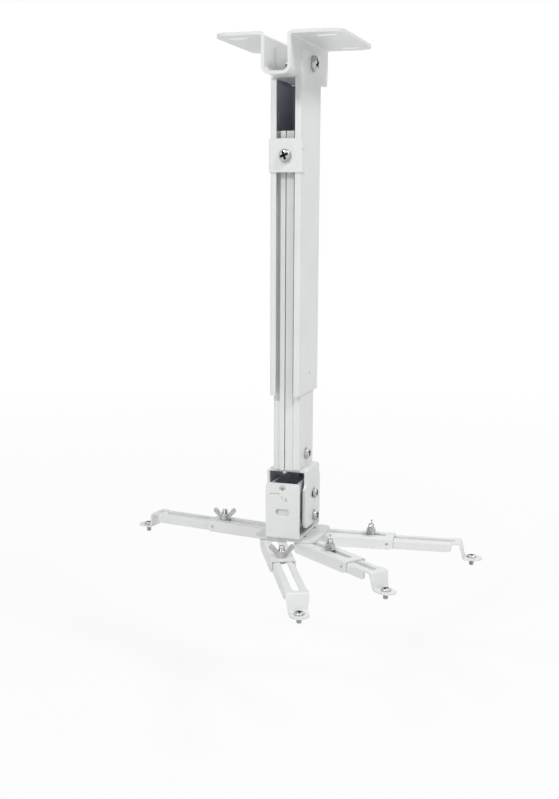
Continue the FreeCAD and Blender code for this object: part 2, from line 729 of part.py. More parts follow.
def build_cross_bolt():
    """Through bolt that holds the outer column to both legs, and its nut."""
    beyond = size("nut_m6_height") + size("bolt_end")
    bolt = screw("cross_bolt", size("bolt_m6"), size("column_width") + beyond,
                 size("cross_head"), size("cross_head_height"))
    place(bolt, column_half, size("cross_bolt_y"), cross_bolt_z, Y_AXIS, 90)
    finish(bolt)
    ring = nut("cross_nut", size("nut_m6"), size("bolt_m6"), size("nut_m6_height"))
    place(ring, -column_half, size("cross_bolt_y"), cross_bolt_z, Y_AXIS, 90)
    return finish(ring)


def build_inner_column():
    """Closed folded section with a raised front rib, where its two edges meet."""
    body = new_body("inner_column")
    wall = size("mast_wall")
    corner = size("mast_corner")
    bend = corner - wall
    rib = size("rib_width") / 2
    rib_inside = rib - wall
    seam_left = -size("seam_offset") - size("seam_gap") / 2
    seam_right = -size("seam_offset") + size("seam_gap") / 2
    inside = mast_half - wall
    section = new_sketch(body, "XY_Plane", "Section")
    outline(section, [
        (seam_right, rib_front), (rib, rib_front, bend), (rib, mast_front),
        (mast_half, mast_front, corner), (mast_half, mast_rear, corner),
        (-mast_half, mast_rear, corner), (-mast_half, mast_front, corner),
        (-rib, mast_front), (-rib, rib_front, bend), (seam_left, rib_front),
        (seam_left, rib_front + wall), (-rib_inside, rib_front + wall),
        (-rib_inside, mast_front + wall), (-inside, mast_front + wall, bend),
        (-inside, mast_rear - wall, bend), (inside, mast_rear - wall, bend),
        (inside, mast_front + wall, bend), (rib_inside, mast_front + wall),
        (rib_inside, rib_front + wall), (seam_right, rib_front + wall)])
    pad(body, section, size("mast_length"), "Length", back=True)
    front = new_sketch(body, "XZ_Plane", "ClipHole")
    circle(front, 0, -size("clip_drop"), hole_m6)
    cut(body, front, "ClipHoleCut", forward=True)
    pegs = new_sketch(body, "XZ_Plane", "PegHoles")
    for z in guide_levels():
        circle(pegs, 0, z - mast_top_z, size("guide_peg") / 2 + size("thread_gap"))
    cut(body, pegs, "PegHoleCut")
    side = new_sketch(body, "YZ_Plane", "PlugScrewHoles")
    circle(side, size("plug_screw_y"), plug_screw_z - mast_top_z, hole_m6)
    cut(body, side, "PlugScrewCut", both=True)
    place(body, 0, 0, mast_top_z)
    return finish(body)


def guide_levels():
    """Heights of the middles of the two plastic guides."""
    upper = mast_top_z - size("guide_drop") - size("guide_height") / 2
    return upper, upper - size("guide_spacing")


def build_column_guides():
    """Two plastic pads that take up the room behind the inner column."""
    members = []
    depth = column_inside_rear - size("guide_gap") - mast_rear
    for number, level in enumerate(guide_levels(), start=1):
        body = new_body("column_guide_%d" % number)
        face = new_sketch(body, "XZ_Plane", "Face")
        half = size("guide_width") / 2
        rise = size("guide_height") / 2
        rectangle(face, -half, -rise, half, rise, size("mast_corner"))
        pad(body, face, depth, "Block", back=True)
        peg = new_sketch(body, "XZ_Plane", "Peg")
        circle(peg, 0, 0, size("guide_peg") / 2)
        pad(body, peg, size("guide_peg_length"), "PegPad")
        place(body, 0, mast_rear, level)
        members.append(body)
    return group("column_guides", members)


def build_clamp_clip():
    """Sheet clip that wraps the outer column's front and moves with the inner column."""
    body = new_body("clamp_clip")
    inside = column_half + size("clip_gap")
    outside = inside + size("clip_sheet")
    rear = clip_back + size("clip_return")
    bend = size("clip_bend")
    section = new_sketch(body, "XY_Plane", "Section")
    outline(section, [
        (-outside, clip_front, bend + size("clip_sheet")),
        (outside, clip_front, bend + size("clip_sheet")),
        (outside, rear), (inside, rear), (inside, clip_back, bend),
        (-inside, clip_back, bend), (-inside, rear), (-outside, rear)])
    pad(body, section, size("clip_height"), "Height", both=True)
    front = new_sketch(body, "XZ_Plane", "ScrewHole")
    circle(front, 0, 0, hole_m6)
    cut(body, front, "ScrewHoleCut", forward=True)
    small = new_sketch(body, "YZ_Plane", "SideHole")
    circle(small, rear - size("clip_return") / 2, size("clip_hole_rise"), size("clip_hole") / 2)
    cut(body, small, "SideHoleCut", forward=True)
    place(body, 0, 0, clip_z)
    return finish(body)


def build_clamp_screw():
    """Screw through clip and rib, and the nut plate that it pulls against the front wall."""
    seat = mast_front + size("mast_wall")
    reach = seat + size("nut_plate") - clip_front
    bolt = screw("clamp_screw", size("bolt_m6"), reach + size("bolt_end"),
                 size("pan_head_m6"), size("pan_height_m6"))
    place(bolt, 0, clip_front, clip_z, X_AXIS, 90)
    finish(bolt)
    body = new_body("clamp_nut_plate")
    half = mast_half - size("mast_wall") - size("nut_plate_gap")
    rise = size("nut_plate_height") / 2
    face = new_sketch(body, "XZ_Plane", "Face")
    rectangle(face, -half, -rise, half, rise)
    circle(face, 0, 0, tapped_m6)
    pad(body, face, size("nut_plate"), "Plate", back=True)
    place(body, 0, seat, clip_z)
    return finish(body)


def build_column_plug():
    """U insert that closes the foot of the inner column and carries the yoke's bolt."""
    body = new_body("column_plug")
    plug_sheet = size("plug_sheet")
    half = mast_half - size("mast_wall") - size("plug_gap")
    inside = half - plug_sheet
    rise = size("plug_height")
    section = new_sketch(body, "XZ_Plane", "Section", size("plug_depth") / 2)
    outline(section, [
        (-half, rise), (-half, 0, plug_sheet), (half, 0, plug_sheet), (half, rise),
        (inside, rise), (inside, plug_sheet), (-inside, plug_sheet), (-inside, rise)])
    pad(body, section, size("plug_depth"), "Depth", back=True)
    web = new_sketch(body, "XY_Plane", "BoltHole")
    circle(web, 0, 0, size("bolt_m8") / 2 + size("hole_gap"))
    cut(body, web, "BoltHoleCut", forward=True)
    side = new_sketch(body, "YZ_Plane", "ScrewHoles")
    circle(side, size("plug_screw_y"), size("plug_screw_height"), tapped_m6)
    cut(body, side, "ScrewHoleCut", both=True)
    place(body, 0, 0, mast_foot_z)
    return finish(body)


def build_plug_screws():
    """Screws through both sides of the inner column into the plug."""
    members = []
    length = size("mast_wall") + size("plug_gap") + size("plug_sheet") + size("screw_end")
    for name, side in (("right", 1), ("left", -1)):
        body = screw("plug_screw_" + name, size("bolt_m6"), length,
                     size("pan_head_m6"), size("pan_height_m6"))
        place(body, mast_half * side, size("plug_screw_y"), plug_screw_z, Y_AXIS, 90 * side)
        members.append(body)
    return group("plug_screws", members)


def build_yoke_bolt():
    """Bolt up through the yoke's web and the plug, and its nut."""
    grip = size("head_sheet") + size("plug_sheet")
    bolt = hex_bolt("yoke_bolt", size("bolt_m8"), grip + size("nut_m8_height") + size("bolt_end"),
                    size("nut_m8"), size("head_m8_height"))
    place(bolt, 0, 0, mast_foot_z - size("head_sheet"), X_AXIS, 180)
    finish(bolt)
    ring = nut("yoke_nut", size("nut_m8"), size("bolt_m8"), size("nut_m8_height"))
    top = mast_foot_z + size("plug_sheet") + size("nut_m8_height")
    place(ring, 0, 0, top)
    return finish(ring)


def build_head_yoke():
    """Inverted U under the column. Its plates step forward below the web and carry the
    pitch pivot and an arc slot."""
    body = new_body("head_yoke")
    head_sheet = size("head_sheet")
    foot = -size("yoke_height")
    bend = size("yoke_bend")
    front = size("yoke_front")
    section = new_sketch(body, "XZ_Plane", "Section", front)
    outline(section, [
        (-yoke_outside, 0, bend + head_sheet), (-yoke_outside, foot), (-yoke_inside, foot),
        (-yoke_inside, -head_sheet, bend), (yoke_inside, -head_sheet, bend),
        (yoke_inside, foot), (yoke_outside, foot), (yoke_outside, 0, bend + head_sheet)])
    pad(body, section, front + size("yoke_rear"), "Depth", back=True)
    step = new_sketch(body, "YZ_Plane", "Step")
    step_foot = -size("yoke_step_drop")
    outline(step, [
        (-front - head_sheet, head_sheet), (size("yoke_step") - front, head_sheet),
        (size("yoke_step") - front, step_foot, size("yoke_step_bend")),
        (-front - head_sheet, step_foot)])
    cut(body, step, "StepCut", both=True)
    round_edges(body, "StepCorner", size("yoke_step_corner"), X_AXIS, (None, -front, step_foot))
    round_edges(body, "LowerCorners", size("yoke_corner"), X_AXIS,
                (None, -front, foot), (None, size("yoke_rear"), foot))
    holes = new_sketch(body, "YZ_Plane", "PitchHoles")
    pivot_z = -size("pitch_pivot_drop")
    circle(holes, pitch_y, pivot_z, hole_m6)
    arc_slot(holes, pitch_y, pivot_z, size("pitch_slot_radius"), size("lock_slot"),
             size("pitch_slot_angle"), 1)
    cut(body, holes, "PitchHoleCut", both=True)
    web = new_sketch(body, "XY_Plane", "BoltHole")
    circle(web, 0, 0, size("bolt_m8") / 2 + size("hole_gap"))
    cut(body, web, "BoltHoleCut")
    place(body, 0, 0, mast_foot_z)
    return finish(body)


def build_pitch_pivots():
    """Pivot screws through the yoke's plates, with nuts inside the pitch block."""
    screws = []
    nuts = []
    nut_seat = block_half - size("head_sheet") - size("head_gap")
    length = yoke_outside - nut_seat + size("nut_m6_height") + size("screw_end")
    for name, side in (("right", 1), ("left", -1)):
        body = screw("pitch_pivot_screw_" + name, size("bolt_m6"), length,
                     size("pan_head_m6"), size("pan_height_m6"))
        place(body, yoke_outside * side, pitch_y, pitch_z, Y_AXIS, 90 * side)
        screws.append(body)
        ring = nut("pitch_pivot_nut_" + name, size("nut_m6"), size("bolt_m6"),
                   size("nut_m6_height"))
        place(ring, nut_seat * side, pitch_y, pitch_z, Y_AXIS, 90 * side)
        nuts.append(ring)
    group("pitch_pivot_screws", screws)
    return group("pitch_pivot_nuts", nuts)


def build_pitch_block():
    """Folded box without top or bottom. It turns on the pitch pivots and carries the
    roll pivots in its front and rear walls."""
    body = new_body("pitch_block")
    wall = size("head_sheet")
    front = block_front
    section = new_sketch(body, "XY_Plane", "Section", -size("block_below"))
    bend = size("head_bend")
    rectangle(section, -block_half, front, block_half, -front, bend + wall)
    rectangle(section, wall - block_half, front + wall, block_half - wall, -front - wall, bend)
    pad(body, section, size("block_below") + size("block_above"), "Height")
    side = new_sketch(body, "YZ_Plane", "PitchHoles")
    circle(side, pitch_y, 0, running_m6)
    circle(side, pitch_y, size("pitch_slot_radius"), tapped_m6)
    cut(body, side, "PitchHoleCut", both=True)
    ends = new_sketch(body, "XZ_Plane", "RollHoles")
    circle(ends, 0, size("roll_pivot_rise"), size("rivet") / 2 + size("running_gap"))
    cut(body, ends, "RollHoleCut", both=True)
    lock = new_sketch(body, "XZ_Plane", "RollLockHole")
    circle(lock, 0, size("roll_pivot_rise") - size("roll_slot_radius"), tapped_m6)
    cut(body, lock, "RollLockCut")
    place(body, 0, 0, pitch_z)
    return finish(body)


def build_pitch_spacers():
    """Plastic discs between the pitch block and the yoke's plates."""
    members = []
    for name, side in (("right", 1), ("left", -1)):
        body = new_body("pitch_spacer_" + name)
        ring = new_sketch(body, "XY_Plane", "Ring")
        circle(ring, 0, 0, size("spacer_radius"))
        circle(ring, 0, 0, running_m6)
        pad(body, ring, size("spacer"), "Disc")
        place(body, block_half * side, pitch_y, pitch_z, Y_AXIS, 90 * side)
        members.append(body)
    return group("pitch_spacers", members)


def build_pitch_locks():
    """Small lock screws from the arc slots into the block, with nuts inside it."""
    screws = []
    nuts = []
    level = pitch_z + size("pitch_slot_radius")
    seat = yoke_outside + size("head_gap")
    nut_seat = block_half - size("head_sheet")
    length = seat - nut_seat + size("nut_m6_height") + size("screw_end")
    for name, side in (("right", 1), ("left", -1)):
        body = screw("pitch_lock_screw_" + name, size("bolt_m6"), length,
                     size("lock_head"), size("lock_head_height"))
        place(body, seat * side, pitch_y, level, Y_AXIS, 90 * side)
        screws.append(body)
        ring = nut("pitch_lock_nut_" + name, size("nut_m6"), size("bolt_m6"),
                   size("nut_m6_height"))
        place(ring, nut_seat * side, pitch_y, level, Y_AXIS, 90 * side)
        nuts.append(ring)
    group("pitch_lock_screws", screws)
    return group("pitch_lock_nuts", nuts)


def build_roll_bracket():
    """U bracket around the block's front and rear, with an arc slot in each plate."""
    body = new_body("roll_bracket")
    head_sheet = size("head_sheet")
    top = size("tray_above")
    foot = -size("tray_drop")
    bend = size("head_bend")
    section = new_sketch(body, "YZ_Plane", "Section")
    outline(section, [
        (-tray_outside, top), (-tray_outside, foot, bend + head_sheet),
        (tray_outside, foot, bend + head_sheet), (tray_outside, top), (tray_inside, top),
        (tray_inside, foot + head_sheet, bend), (-tray_inside, foot + head_sheet, bend),
        (-tray_inside, top)])
    pad(body, section, size("tray_width"), "Width", both=True)
    half = size("tray_width") / 2
    round_edges(body, "UpperCorners", size("tray_corner"), Y_AXIS,
                (half, None, top), (-half, None, top))
    holes = new_sketch(body, "XZ_Plane", "RollHoles")
    circle(holes, 0, 0, size("rivet") / 2 + size("thread_gap"))
    arc_slot(holes, as_size(0), as_size(0), size("roll_slot_radius"), size("lock_slot"),
             size("roll_slot_angle"), -1)
    cut(body, holes, "RollHoleCut", both=True)
    web = new_sketch(body, "XY_Plane", "SwivelHole")
    circle(web, 0, 0, size("bolt_m8") / 2 + size("thread_gap"))
    cut(body, web, "SwivelHoleCut")
    place(body, 0, 0, roll_z)
    return finish(body)


def build_roll_rivets():
    """Roll pivots: rivets set in the bracket's plates, headed inside the block."""
    members = []
    head_seat = tray_inside - size("head_gap") * 2 - size("head_sheet")
    length = tray_outside + size("head_gap") - head_seat
    for name, side in (("front", -1), ("rear", 1)):
        body = screw("roll_rivet_" + name, size("rivet"), length,
                     size("rivet_head"), size("rivet_head_height"), recess=False)
        place(body, 0, head_seat * side, roll_z, X_AXIS, 90 * side)
        members.append(body)
    return group("roll_rivets", members)


def build_roll_lock():
    """Lock screw through the rear arc slot into the block, with a nut inside it."""
    level = roll_z - size("roll_slot_radius")
    seat = tray_outside + size("head_gap")
    nut_seat = -block_front - size("head_sheet")
    length = seat - nut_seat + size("nut_m6_height") + size("screw_end")
    bolt = screw("roll_lock_screw", size("bolt_m6"), length,
                 size("lock_head"), size("lock_head_height"))
    place(bolt, 0, seat, level, X_AXIS, -90)
    finish(bolt)
    ring = nut("roll_lock_nut", size("nut_m6"), size("bolt_m6"), size("nut_m6_height"))
    place(ring, 0, nut_seat, level, X_AXIS, -90)
    return finish(ring)


def build_swivel():
    """Swivel bolt in the roll bracket, a plastic washer and the nut under the hub."""
    grip = tray_foot_z + size("head_sheet") - hub_foot_z + size("washer_gap")
    bolt = screw("swivel_bolt", size("bolt_m8"), grip + size("nut_m8_height") + size("bolt_end"),
                 size("cap_head_m8"), size("cap_height_m8"))
    place(bolt, 0, 0, tray_foot_z + size("head_sheet"))
    finish(bolt)
    disc = new_body("swivel_washer")
    ring = new_sketch(disc, "XY_Plane", "Ring")
    circle(ring, 0, 0, size("bolt_m8"))
    circle(ring, 0, 0, size("bolt_m8") / 2 + size("thread_gap"))
    pad(disc, ring, size("washer"), "Disc", back=True)
    place(disc, 0, 0, tray_foot_z)
    finish(disc)
    lock = nut("swivel_nut", size("nut_m8"), size("bolt_m8"), size("nut_m8_height"))
    place(lock, 0, 0, hub_foot_z - size("washer_gap"))
    return finish(lock)


def build_hub_plate():
    """Square plate that turns on the swivel bolt and carries the four arm pivots."""
    body = new_body("hub_plate")
    half = size("hub_size") / 2
    face = new_sketch(body, "XY_Plane", "Face")
    rectangle(face, -half, -half, half, half, size("hub_corner"))
    circle(face, 0, 0, size("bolt_m8") / 2 + size("running_gap"))
    for x in (-size("arm_pivot"), size("arm_pivot")):
        for y in (-size("arm_pivot"), size("arm_pivot")):
            circle(face, x, y, tapped_m6)
    pad(body, face, size("hub_plate"), "Plate", back=True)
    place(body, 0, 0, hub_top_z)
    return finish(body)


ARMS = [("a", -1, -1), ("b", 1, -1), ("c", 1, 1), ("d", -1, 1)]


def arm_place(item, name, side_x, side_y, along, z):
    """Stand a piece on the line of an arm, at a distance from the arm's pivot."""
    angle = size("arm_%s_angle" % name)
    x = size("arm_pivot") * side_x + along * cosine(angle)
    y = size("arm_pivot") * side_y + along * sine(angle)
    place(item, x, y, z, Z_AXIS, angle)


def foot_along(name):
    """Distance of an arm's foot from the arm's pivot."""
    tail = clamp_along[name] - size("inner_%s_lap" % name)
    return tail + size("inner_arm_web") + size("foot_reach")


def build_arm_pivots():
    """Screws from below through the outer arms into the hub plate."""
    members = []
    head_top = outer_arm_z - size("arm_sheet") - size("washer_gap")
    length = hub_top_z - head_top
    for name, side_x, side_y in ARMS:
        body = screw("arm_pivot_screw_" + name, size("bolt_m6"), length,
                     size("lock_head"), size("lock_head_height"))
        place(body, size("arm_pivot") * side_x, size("arm_pivot") * side_y, head_top, X_AXIS, 180)
        members.append(body)
    return group("arm_pivot_screws", members)


def build_outer_arm(name, side_x, side_y):
    """Downward channel with a rounded hub end and a long slot in its top."""
    body = new_body("outer_arm_" + name)
    half = size("outer_arm_width") / 2
    arm_sheet = size("arm_sheet")
    foot = -size("outer_arm_side")
    bend = size("arm_bend")
    section = new_sketch(body, "YZ_Plane", "Section")
    outline(section, [
        (-half, 0, bend + arm_sheet), (-half, foot), (arm_sheet - half, foot),
        (arm_sheet - half, -arm_sheet, bend), (half - arm_sheet, -arm_sheet, bend),
        (half - arm_sheet, foot), (half, foot), (half, 0, bend + arm_sheet)])
    pad(body, section, size("outer_arm_length"), "Length")
    round_edges(body, "SideCorners", size("outer_arm_corner"), Y_AXIS,
                (0, None, foot), (size("outer_arm_length"), None, foot))
    end = new_sketch(body, "XY_Plane", "HubEnd")
    trace(end, [(0, half), (0, -half)], {0: (half, 0, 0, False)})
    pad(body, end, arm_sheet, "HubEndPad", back=True)
    holes = new_sketch(body, "XY_Plane", "PivotAndSlot")
    circle(holes, 0, 0, running_m6)
    slot(holes, (outer_slot_start + outer_slot_end) / 2, as_size(0),
         outer_slot_end - outer_slot_start, size("arm_slot_width"))
    cut(body, holes, "TopCut")
    small = new_sketch(body, "XZ_Plane", "SideHoles")
    circle(small, size("outer_arm_length") - size("side_hole_margin"), -size("side_hole_drop"),
           size("side_hole") / 2)
    cut(body, small, "SideHoleCut", both=True)
    arm_place(body, name, side_x, side_y, as_size(0), outer_arm_z)
    return finish(body)


def build_clamp_bolt(name, side_x, side_y):
    """Bolt up through both slots; its head slides under the inner arm."""
    head_top = inner_arm_z - size("arm_sheet") - size("arm_gap")
    length = outer_arm_z - head_top + size("clamp_bolt_rise")
    body = screw("clamp_bolt_" + name, size("bolt_m6"), length,
                 size("clamp_head"), size("clamp_head_height"), recess=False)
    angle = size("arm_%s_angle" % name)
    along = clamp_along[name]
    place(body, size("arm_pivot") * side_x + along * cosine(angle),
          size("arm_pivot") * side_y + along * sine(angle), head_top, X_AXIS, 180)
    return finish(body)


def build_wing_nut(name, side_x, side_y):
    """Conical base with two raised wings; it turns on the clamp bolt."""
    body = new_body("wing_nut_" + name)
    bore = size("bolt_m6") / 2 + size("wing_bore_gap")
    base = size("wing_base") / 2
    rise = size("wing_base_height")
    profile = new_sketch(body, "XZ_Plane", "Base")
    trace(profile, [(bore, 0), (base, 0), (size("wing_base_top") / 2, rise), (bore, rise)], {})
    revolve(body, profile, "Turned")
    root = size("wing_root") / 2
    toe = size("wing_toe")
    tip = size("wing_span") / 2
    top = size("wing_height")
    for label, side in (("Right", 1), ("Left", -1)):
        wing = new_sketch(body, "XZ_Plane", label + "Wing")
        trace(wing, [
            (root * side, toe), (base * side, toe), (tip * side, size("wing_low_corner")),
            (tip * side, size("wing_high_corner")), (size("wing_top_corner") / 2 * side, top),
            (size("wing_shoulder") / 2 * side, top - size("wing_shoulder_drop")),
            (root * side, rise)], {})
        pad(body, wing, size("wing_sheet"), label + "WingPad", both=True)
    arm_place(body, name, side_x, side_y, clamp_along[name], outer_arm_z + size("wing_gap"))
    turn = size("wing_%s_turn" % name)
    body.Placement = FreeCAD.Placement(body.Placement.Base, FreeCAD.Rotation(Z_AXIS, turn.value))
    body.setExpression("Placement.Rotation.Angle", turn.formula)
    return finish(body)


def build_inner_arm(name, side_x, side_y):
    """Channel that slides in the outer arm. Its slotted top is bent down to a tab and
    out to a round foot plate, with the foot hole on the body's origin."""
    body = new_body("inner_arm_" + name)
    half = inner_arm_half
    arm_sheet = size("arm_sheet")
    bend = size("arm_bend")
    foot = -size("inner_arm_side")
    bend_x = -size("foot_reach")
    tail_x = bend_x - size("inner_arm_web")
    side_end = bend_x - size("inner_side_end")
    plate = -size("foot_drop")
    end_x = size("foot_end")
    section = new_sketch(body, "YZ_Plane", "Section", tail_x)
    outline(section, [
        (-half, 0, bend + arm_sheet), (-half, foot), (arm_sheet - half, foot),
        (arm_sheet - half, -arm_sheet, bend), (half - arm_sheet, -arm_sheet, bend),
        (half - arm_sheet, foot), (half, foot), (half, 0, bend + arm_sheet)])
    pad(body, section, side_end - tail_x, "Channel")
    round_edges(body, "SideCorners", size("inner_arm_corner"), Y_AXIS,
                (tail_x, None, foot), (side_end, None, foot))
    strip = new_sketch(body, "XZ_Plane", "TabAndFoot")
    lean = size("foot_lean")
    trace(strip, [
        (side_end, 0), (bend_x, 0), (bend_x + lean, plate + arm_sheet),
        (end_x, plate + arm_sheet), (end_x, plate), (bend_x + lean - arm_sheet, plate),
        (bend_x - arm_sheet, -arm_sheet), (side_end, -arm_sheet)], {})
    pad(body, strip, half * 2, "TabPad", both=True)
    round_edges(body, "OuterBends", bend + arm_sheet, Y_AXIS,
                (bend_x, None, 0), (bend_x + lean - arm_sheet, None, plate))
    round_edges(body, "InnerBends", bend, Y_AXIS,
                (bend_x + lean, None, plate + arm_sheet), (bend_x - arm_sheet, None, -arm_sheet))
    taper = new_sketch(body, "YZ_Plane", "TabTaper", side_end)
    foot_half = size("foot_width") / 2
    beside = half + arm_sheet
    below = plate - arm_sheet
    for side in (1, -1):
        trace(taper, [
            (half * side, -size("tab_shoulder")), (beside * side, -size("tab_shoulder")),
            (beside * side, below), (foot_half * side, below),
            (foot_half * side, plate + arm_sheet)], {})
    cut(body, taper, "TaperCut", forward=True)
    round_edges(body, "FootRound", foot_half - size("thread_gap") * 5, Z_AXIS, (end_x, None, None))
    holes = new_sketch(body, "XY_Plane", "SlotAndHole")
    circle(holes, 0, 0, size("foot_hole") / 2)
    slot_start = tail_x + size("inner_slot_margin")
    slot_end = bend_x - arm_sheet - size("inner_slot_margin")
    slot(holes, (slot_start + slot_end) / 2, as_size(0), slot_end - slot_start,
         size("arm_slot_width"))
    cut(body, holes, "TopCut")
    arm_place(body, name, side_x, side_y, foot_along(name), inner_arm_z)
    return finish(body)


def build_foot_screw(name, side_x, side_y):
    """Screw that stands in the foot hole, its free end below the foot plane."""
    neck_length = size("arm_sheet") + size("foot_neck_gap")
    body = screw("foot_screw_" + name, size("bolt_m5"), neck_length + size("foot_thread"),
                 size("foot_head"), size("foot_head_height"),
                 neck=(size("foot_neck"), neck_length))
    seat = inner_arm_z - size("foot_drop") + size("arm_sheet")
    arm_place(body, name, side_x, side_y, foot_along(name), seat)
    return finish(body)


build_ceiling_bracket()
build_outer_column()
build_cross_bolt()
build_inner_column()
build_column_guides()
build_clamp_clip()
build_clamp_screw()
build_column_plug()
build_plug_screws()
build_yoke_bolt()
build_head_yoke()
build_pitch_pivots()
build_pitch_block()
build_pitch_spacers()
build_pitch_locks()
build_roll_bracket()
build_roll_rivets()
build_roll_lock()
build_swivel()
build_hub_plate()
build_arm_pivots()
for arm in ARMS:
    build_outer_arm(*arm)
    build_clamp_bolt(*arm)
    build_wing_nut(*arm)
    build_inner_arm(*arm)
    build_foot_screw(*arm)

document.recompute()
for item in document.Objects:
    if "Invalid" in item.State or "Error" in item.State:
        raise RuntimeError("%s failed: %s" % (item.Label, item.State))
for item in parts:
    if item.Shape.isNull() or not item.Shape.isValid():
        raise RuntimeError("%s has no valid shape" % item.Label)

os.makedirs("parts", exist_ok=True)
for item in parts:
    item.Shape.exportStep("parts/%s.step" % item.Label)
print("%d sub-parts written" % len(parts))
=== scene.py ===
import json
import math

import bmesh
import bpy
from mathutils import Matrix, Vector


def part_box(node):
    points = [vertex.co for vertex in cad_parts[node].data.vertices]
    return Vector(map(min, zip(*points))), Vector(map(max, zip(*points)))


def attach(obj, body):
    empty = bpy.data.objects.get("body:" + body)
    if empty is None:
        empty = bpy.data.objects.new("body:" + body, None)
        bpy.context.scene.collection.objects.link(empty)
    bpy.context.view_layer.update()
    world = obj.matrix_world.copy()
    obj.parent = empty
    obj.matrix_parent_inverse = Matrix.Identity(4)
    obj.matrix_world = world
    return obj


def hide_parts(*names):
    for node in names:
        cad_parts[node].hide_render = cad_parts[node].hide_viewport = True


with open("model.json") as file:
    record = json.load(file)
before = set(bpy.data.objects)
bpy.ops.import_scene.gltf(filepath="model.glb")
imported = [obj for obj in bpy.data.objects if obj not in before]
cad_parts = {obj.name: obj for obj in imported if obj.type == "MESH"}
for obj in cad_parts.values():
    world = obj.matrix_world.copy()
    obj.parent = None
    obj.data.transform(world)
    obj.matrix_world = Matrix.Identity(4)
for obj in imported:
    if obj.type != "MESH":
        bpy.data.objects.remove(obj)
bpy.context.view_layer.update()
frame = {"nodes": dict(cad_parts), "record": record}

# Looks of an adjustable ceiling mount: powder coated sheet metal, zinc plated fasteners
# with threads and recesses, cast wing nuts, dark nylon spacers and a soft white studio.
# Metres. +Z is up, +X to the right and +Y away from the front.

bl_info = {
    "name": "Ceiling Mount",
    "version": (1, 0, 0),
    "blender": (4, 5, 0),
    "location": "View3D > Sidebar > Ceiling Mount",
    "description": "Builds the finish and the fasteners of an adjustable ceiling mount",
    "category": "Add Mesh",
}

MM = 0.001
RECORD = frame["record"]
SLOT_OF = {part["node"]: part["material_slot"] for part in RECORD["subparts"]}
BODY_OF = {node: body for body, nodes in RECORD["behaviour"]["bodies"].items()
           for node in nodes}
ARMS = ("a", "b", "c", "d")

# Directions that a fastener's head can face.
RIGHT = (1, 0, 0)
FRONT = (0, -1, 0)
REAR = (0, 1, 0)
UP = (0, 0, 1)
DOWN = (0, 0, -1)

# Faces further than this inside the box of their piece get painted shade, a darker colour
# that stands in for the dark of the hollow: from its sides, from its front and back, and from
# its top. So does the block's rim, this close to its top, as painted shade for the gap beside it.
COLUMN_INSET = (0.6 * MM, 0.6 * MM, 0.0)
YOKE_INSET = (2.4 * MM, 3.0 * MM, 2.4 * MM)
BLOCK_INSET = (2.4 * MM, 2.4 * MM, 0.0)
SHADED_RIM_DEPTH = 0.1 * MM

# Edges that turn by more degrees than this stay sharp: on most pieces, on nuts, on a
# casting, and on a casting that is bored.
SHARP = 32.0
NUT_SHARP = 25.0
CAST_SHARP = 60.0
BORED_SHARP = 45.0

# How far rounded and flat normals agree where an edge counts in full, and where it ends.
EDGE_AGREEMENT = (0.75, 0.98)

# Steps around a round head, a hexagon head, a nut and a wing nut.
ROUND_STEPS = 32
HEX_STEPS = 36
NUT_STEPS = 48
WING_STEPS = 40

# A thread's depth, chamfered tip and run-out in shares of its pitch, its steps for each
# pitch, and the radius at its tip as a share of the screw's.
THREAD_DEPTH = 0.45
THREAD_TIP = 0.5
THREAD_RUNOUT = 0.4
THREAD_STEPS = 5
TIP_RADIUS = 0.78

# Outlines of turned heads: shares of the head's radius and of its height.
HEAD_PROFILES = {
    "pan": ((0.97, 0.0), (1.0, 0.06), (1.0, 0.42), (0.975, 0.58), (0.91, 0.73), (0.80, 0.85),
            (0.62, 0.94), (0.38, 0.985), (0.14, 1.0)),
    "dome": ((0.96, 0.0), (1.0, 0.08), (0.97, 0.34), (0.86, 0.60), (0.66, 0.82), (0.40, 0.95),
             (0.14, 1.0)),
}

# A cross recess: its reach and half the width of its arms in shares of the head's radius,
# and its levels in shares of the head's height, each with how far it has opened there.
CROSS_REACH = 0.7
CROSS_ARM = 0.19
CROSS_LEVELS = ((0.25, 0.35), (0.72, 0.86), (1.15, 1.12))

# The step from a foot screw's thread to its neck.
NECK_RAMP = 0.2 * MM

# End of a rivet: heights above its tip, with shares of its radius.
RIVET_END = ((0.0, 0.45), (0.12 * MM, 0.86), (0.3 * MM, 1.0))

# A wing nut in millimetres: its body as radius and height, and the outline of one ear as
# distance from the axis and height. An ear's half thickness is EAR_HALF times a share
# that starts at EAR_ROOT and falls by EAR_TAPER for each millimetre outward.
WING_BODY = ((5.1, 0.0), (5.2, 0.5), (4.95, 1.6), (4.6, 4.6), (4.5, 6.0), (4.1, 6.6))
EAR = ((2.6, 1.6), (5.2, 1.5), (7.4, 3.6), (10.2, 6.4), (11.9, 8.3), (12.0, 10.6), (11.0, 12.3),
       (9.2, 12.5), (7.6, 11.2), (6.2, 9.0), (4.6, 7.2), (2.6, 6.6))
EAR_HALF = 1.25
EAR_ROOT = 1.25
EAR_TAPER = 0.03

# The grain in which a wing nut's body and ears grow together, how often the casting is
# smoothed, the play of its bore around the bolt, and the ends of the boring tool.
CAST_GRAIN = 0.28 * MM
CAST_SOFTENING = 5
BORE_PLAY = 0.06 * MM
BORE_ENDS = (-1 * MM, 9 * MM)

# Angle marks in millimetres to the right of and above the front rivet: straight strokes
# by their ends, and a painted shadow of the rivet's dome, an arc over the rivet by its radius
# and angles in degrees, in the marks' grey. MARK_ROOT is how far a mark reaches into the coat.
STROKES = (((-0.6, -8.0), (-0.2, -10.8)), ((3.6, -9.6), (2.4, -13.2)), ((3.6, -9.6), (5.0, -13.2)),
           ((-13.0, -5.8), (-2.6, -5.6)))
DOME_SHADOW_RADIUS = 2.9
DOME_SHADOW_ANGLES = range(-20, 201, 20)
MARK_ROOT = 0.02 * MM

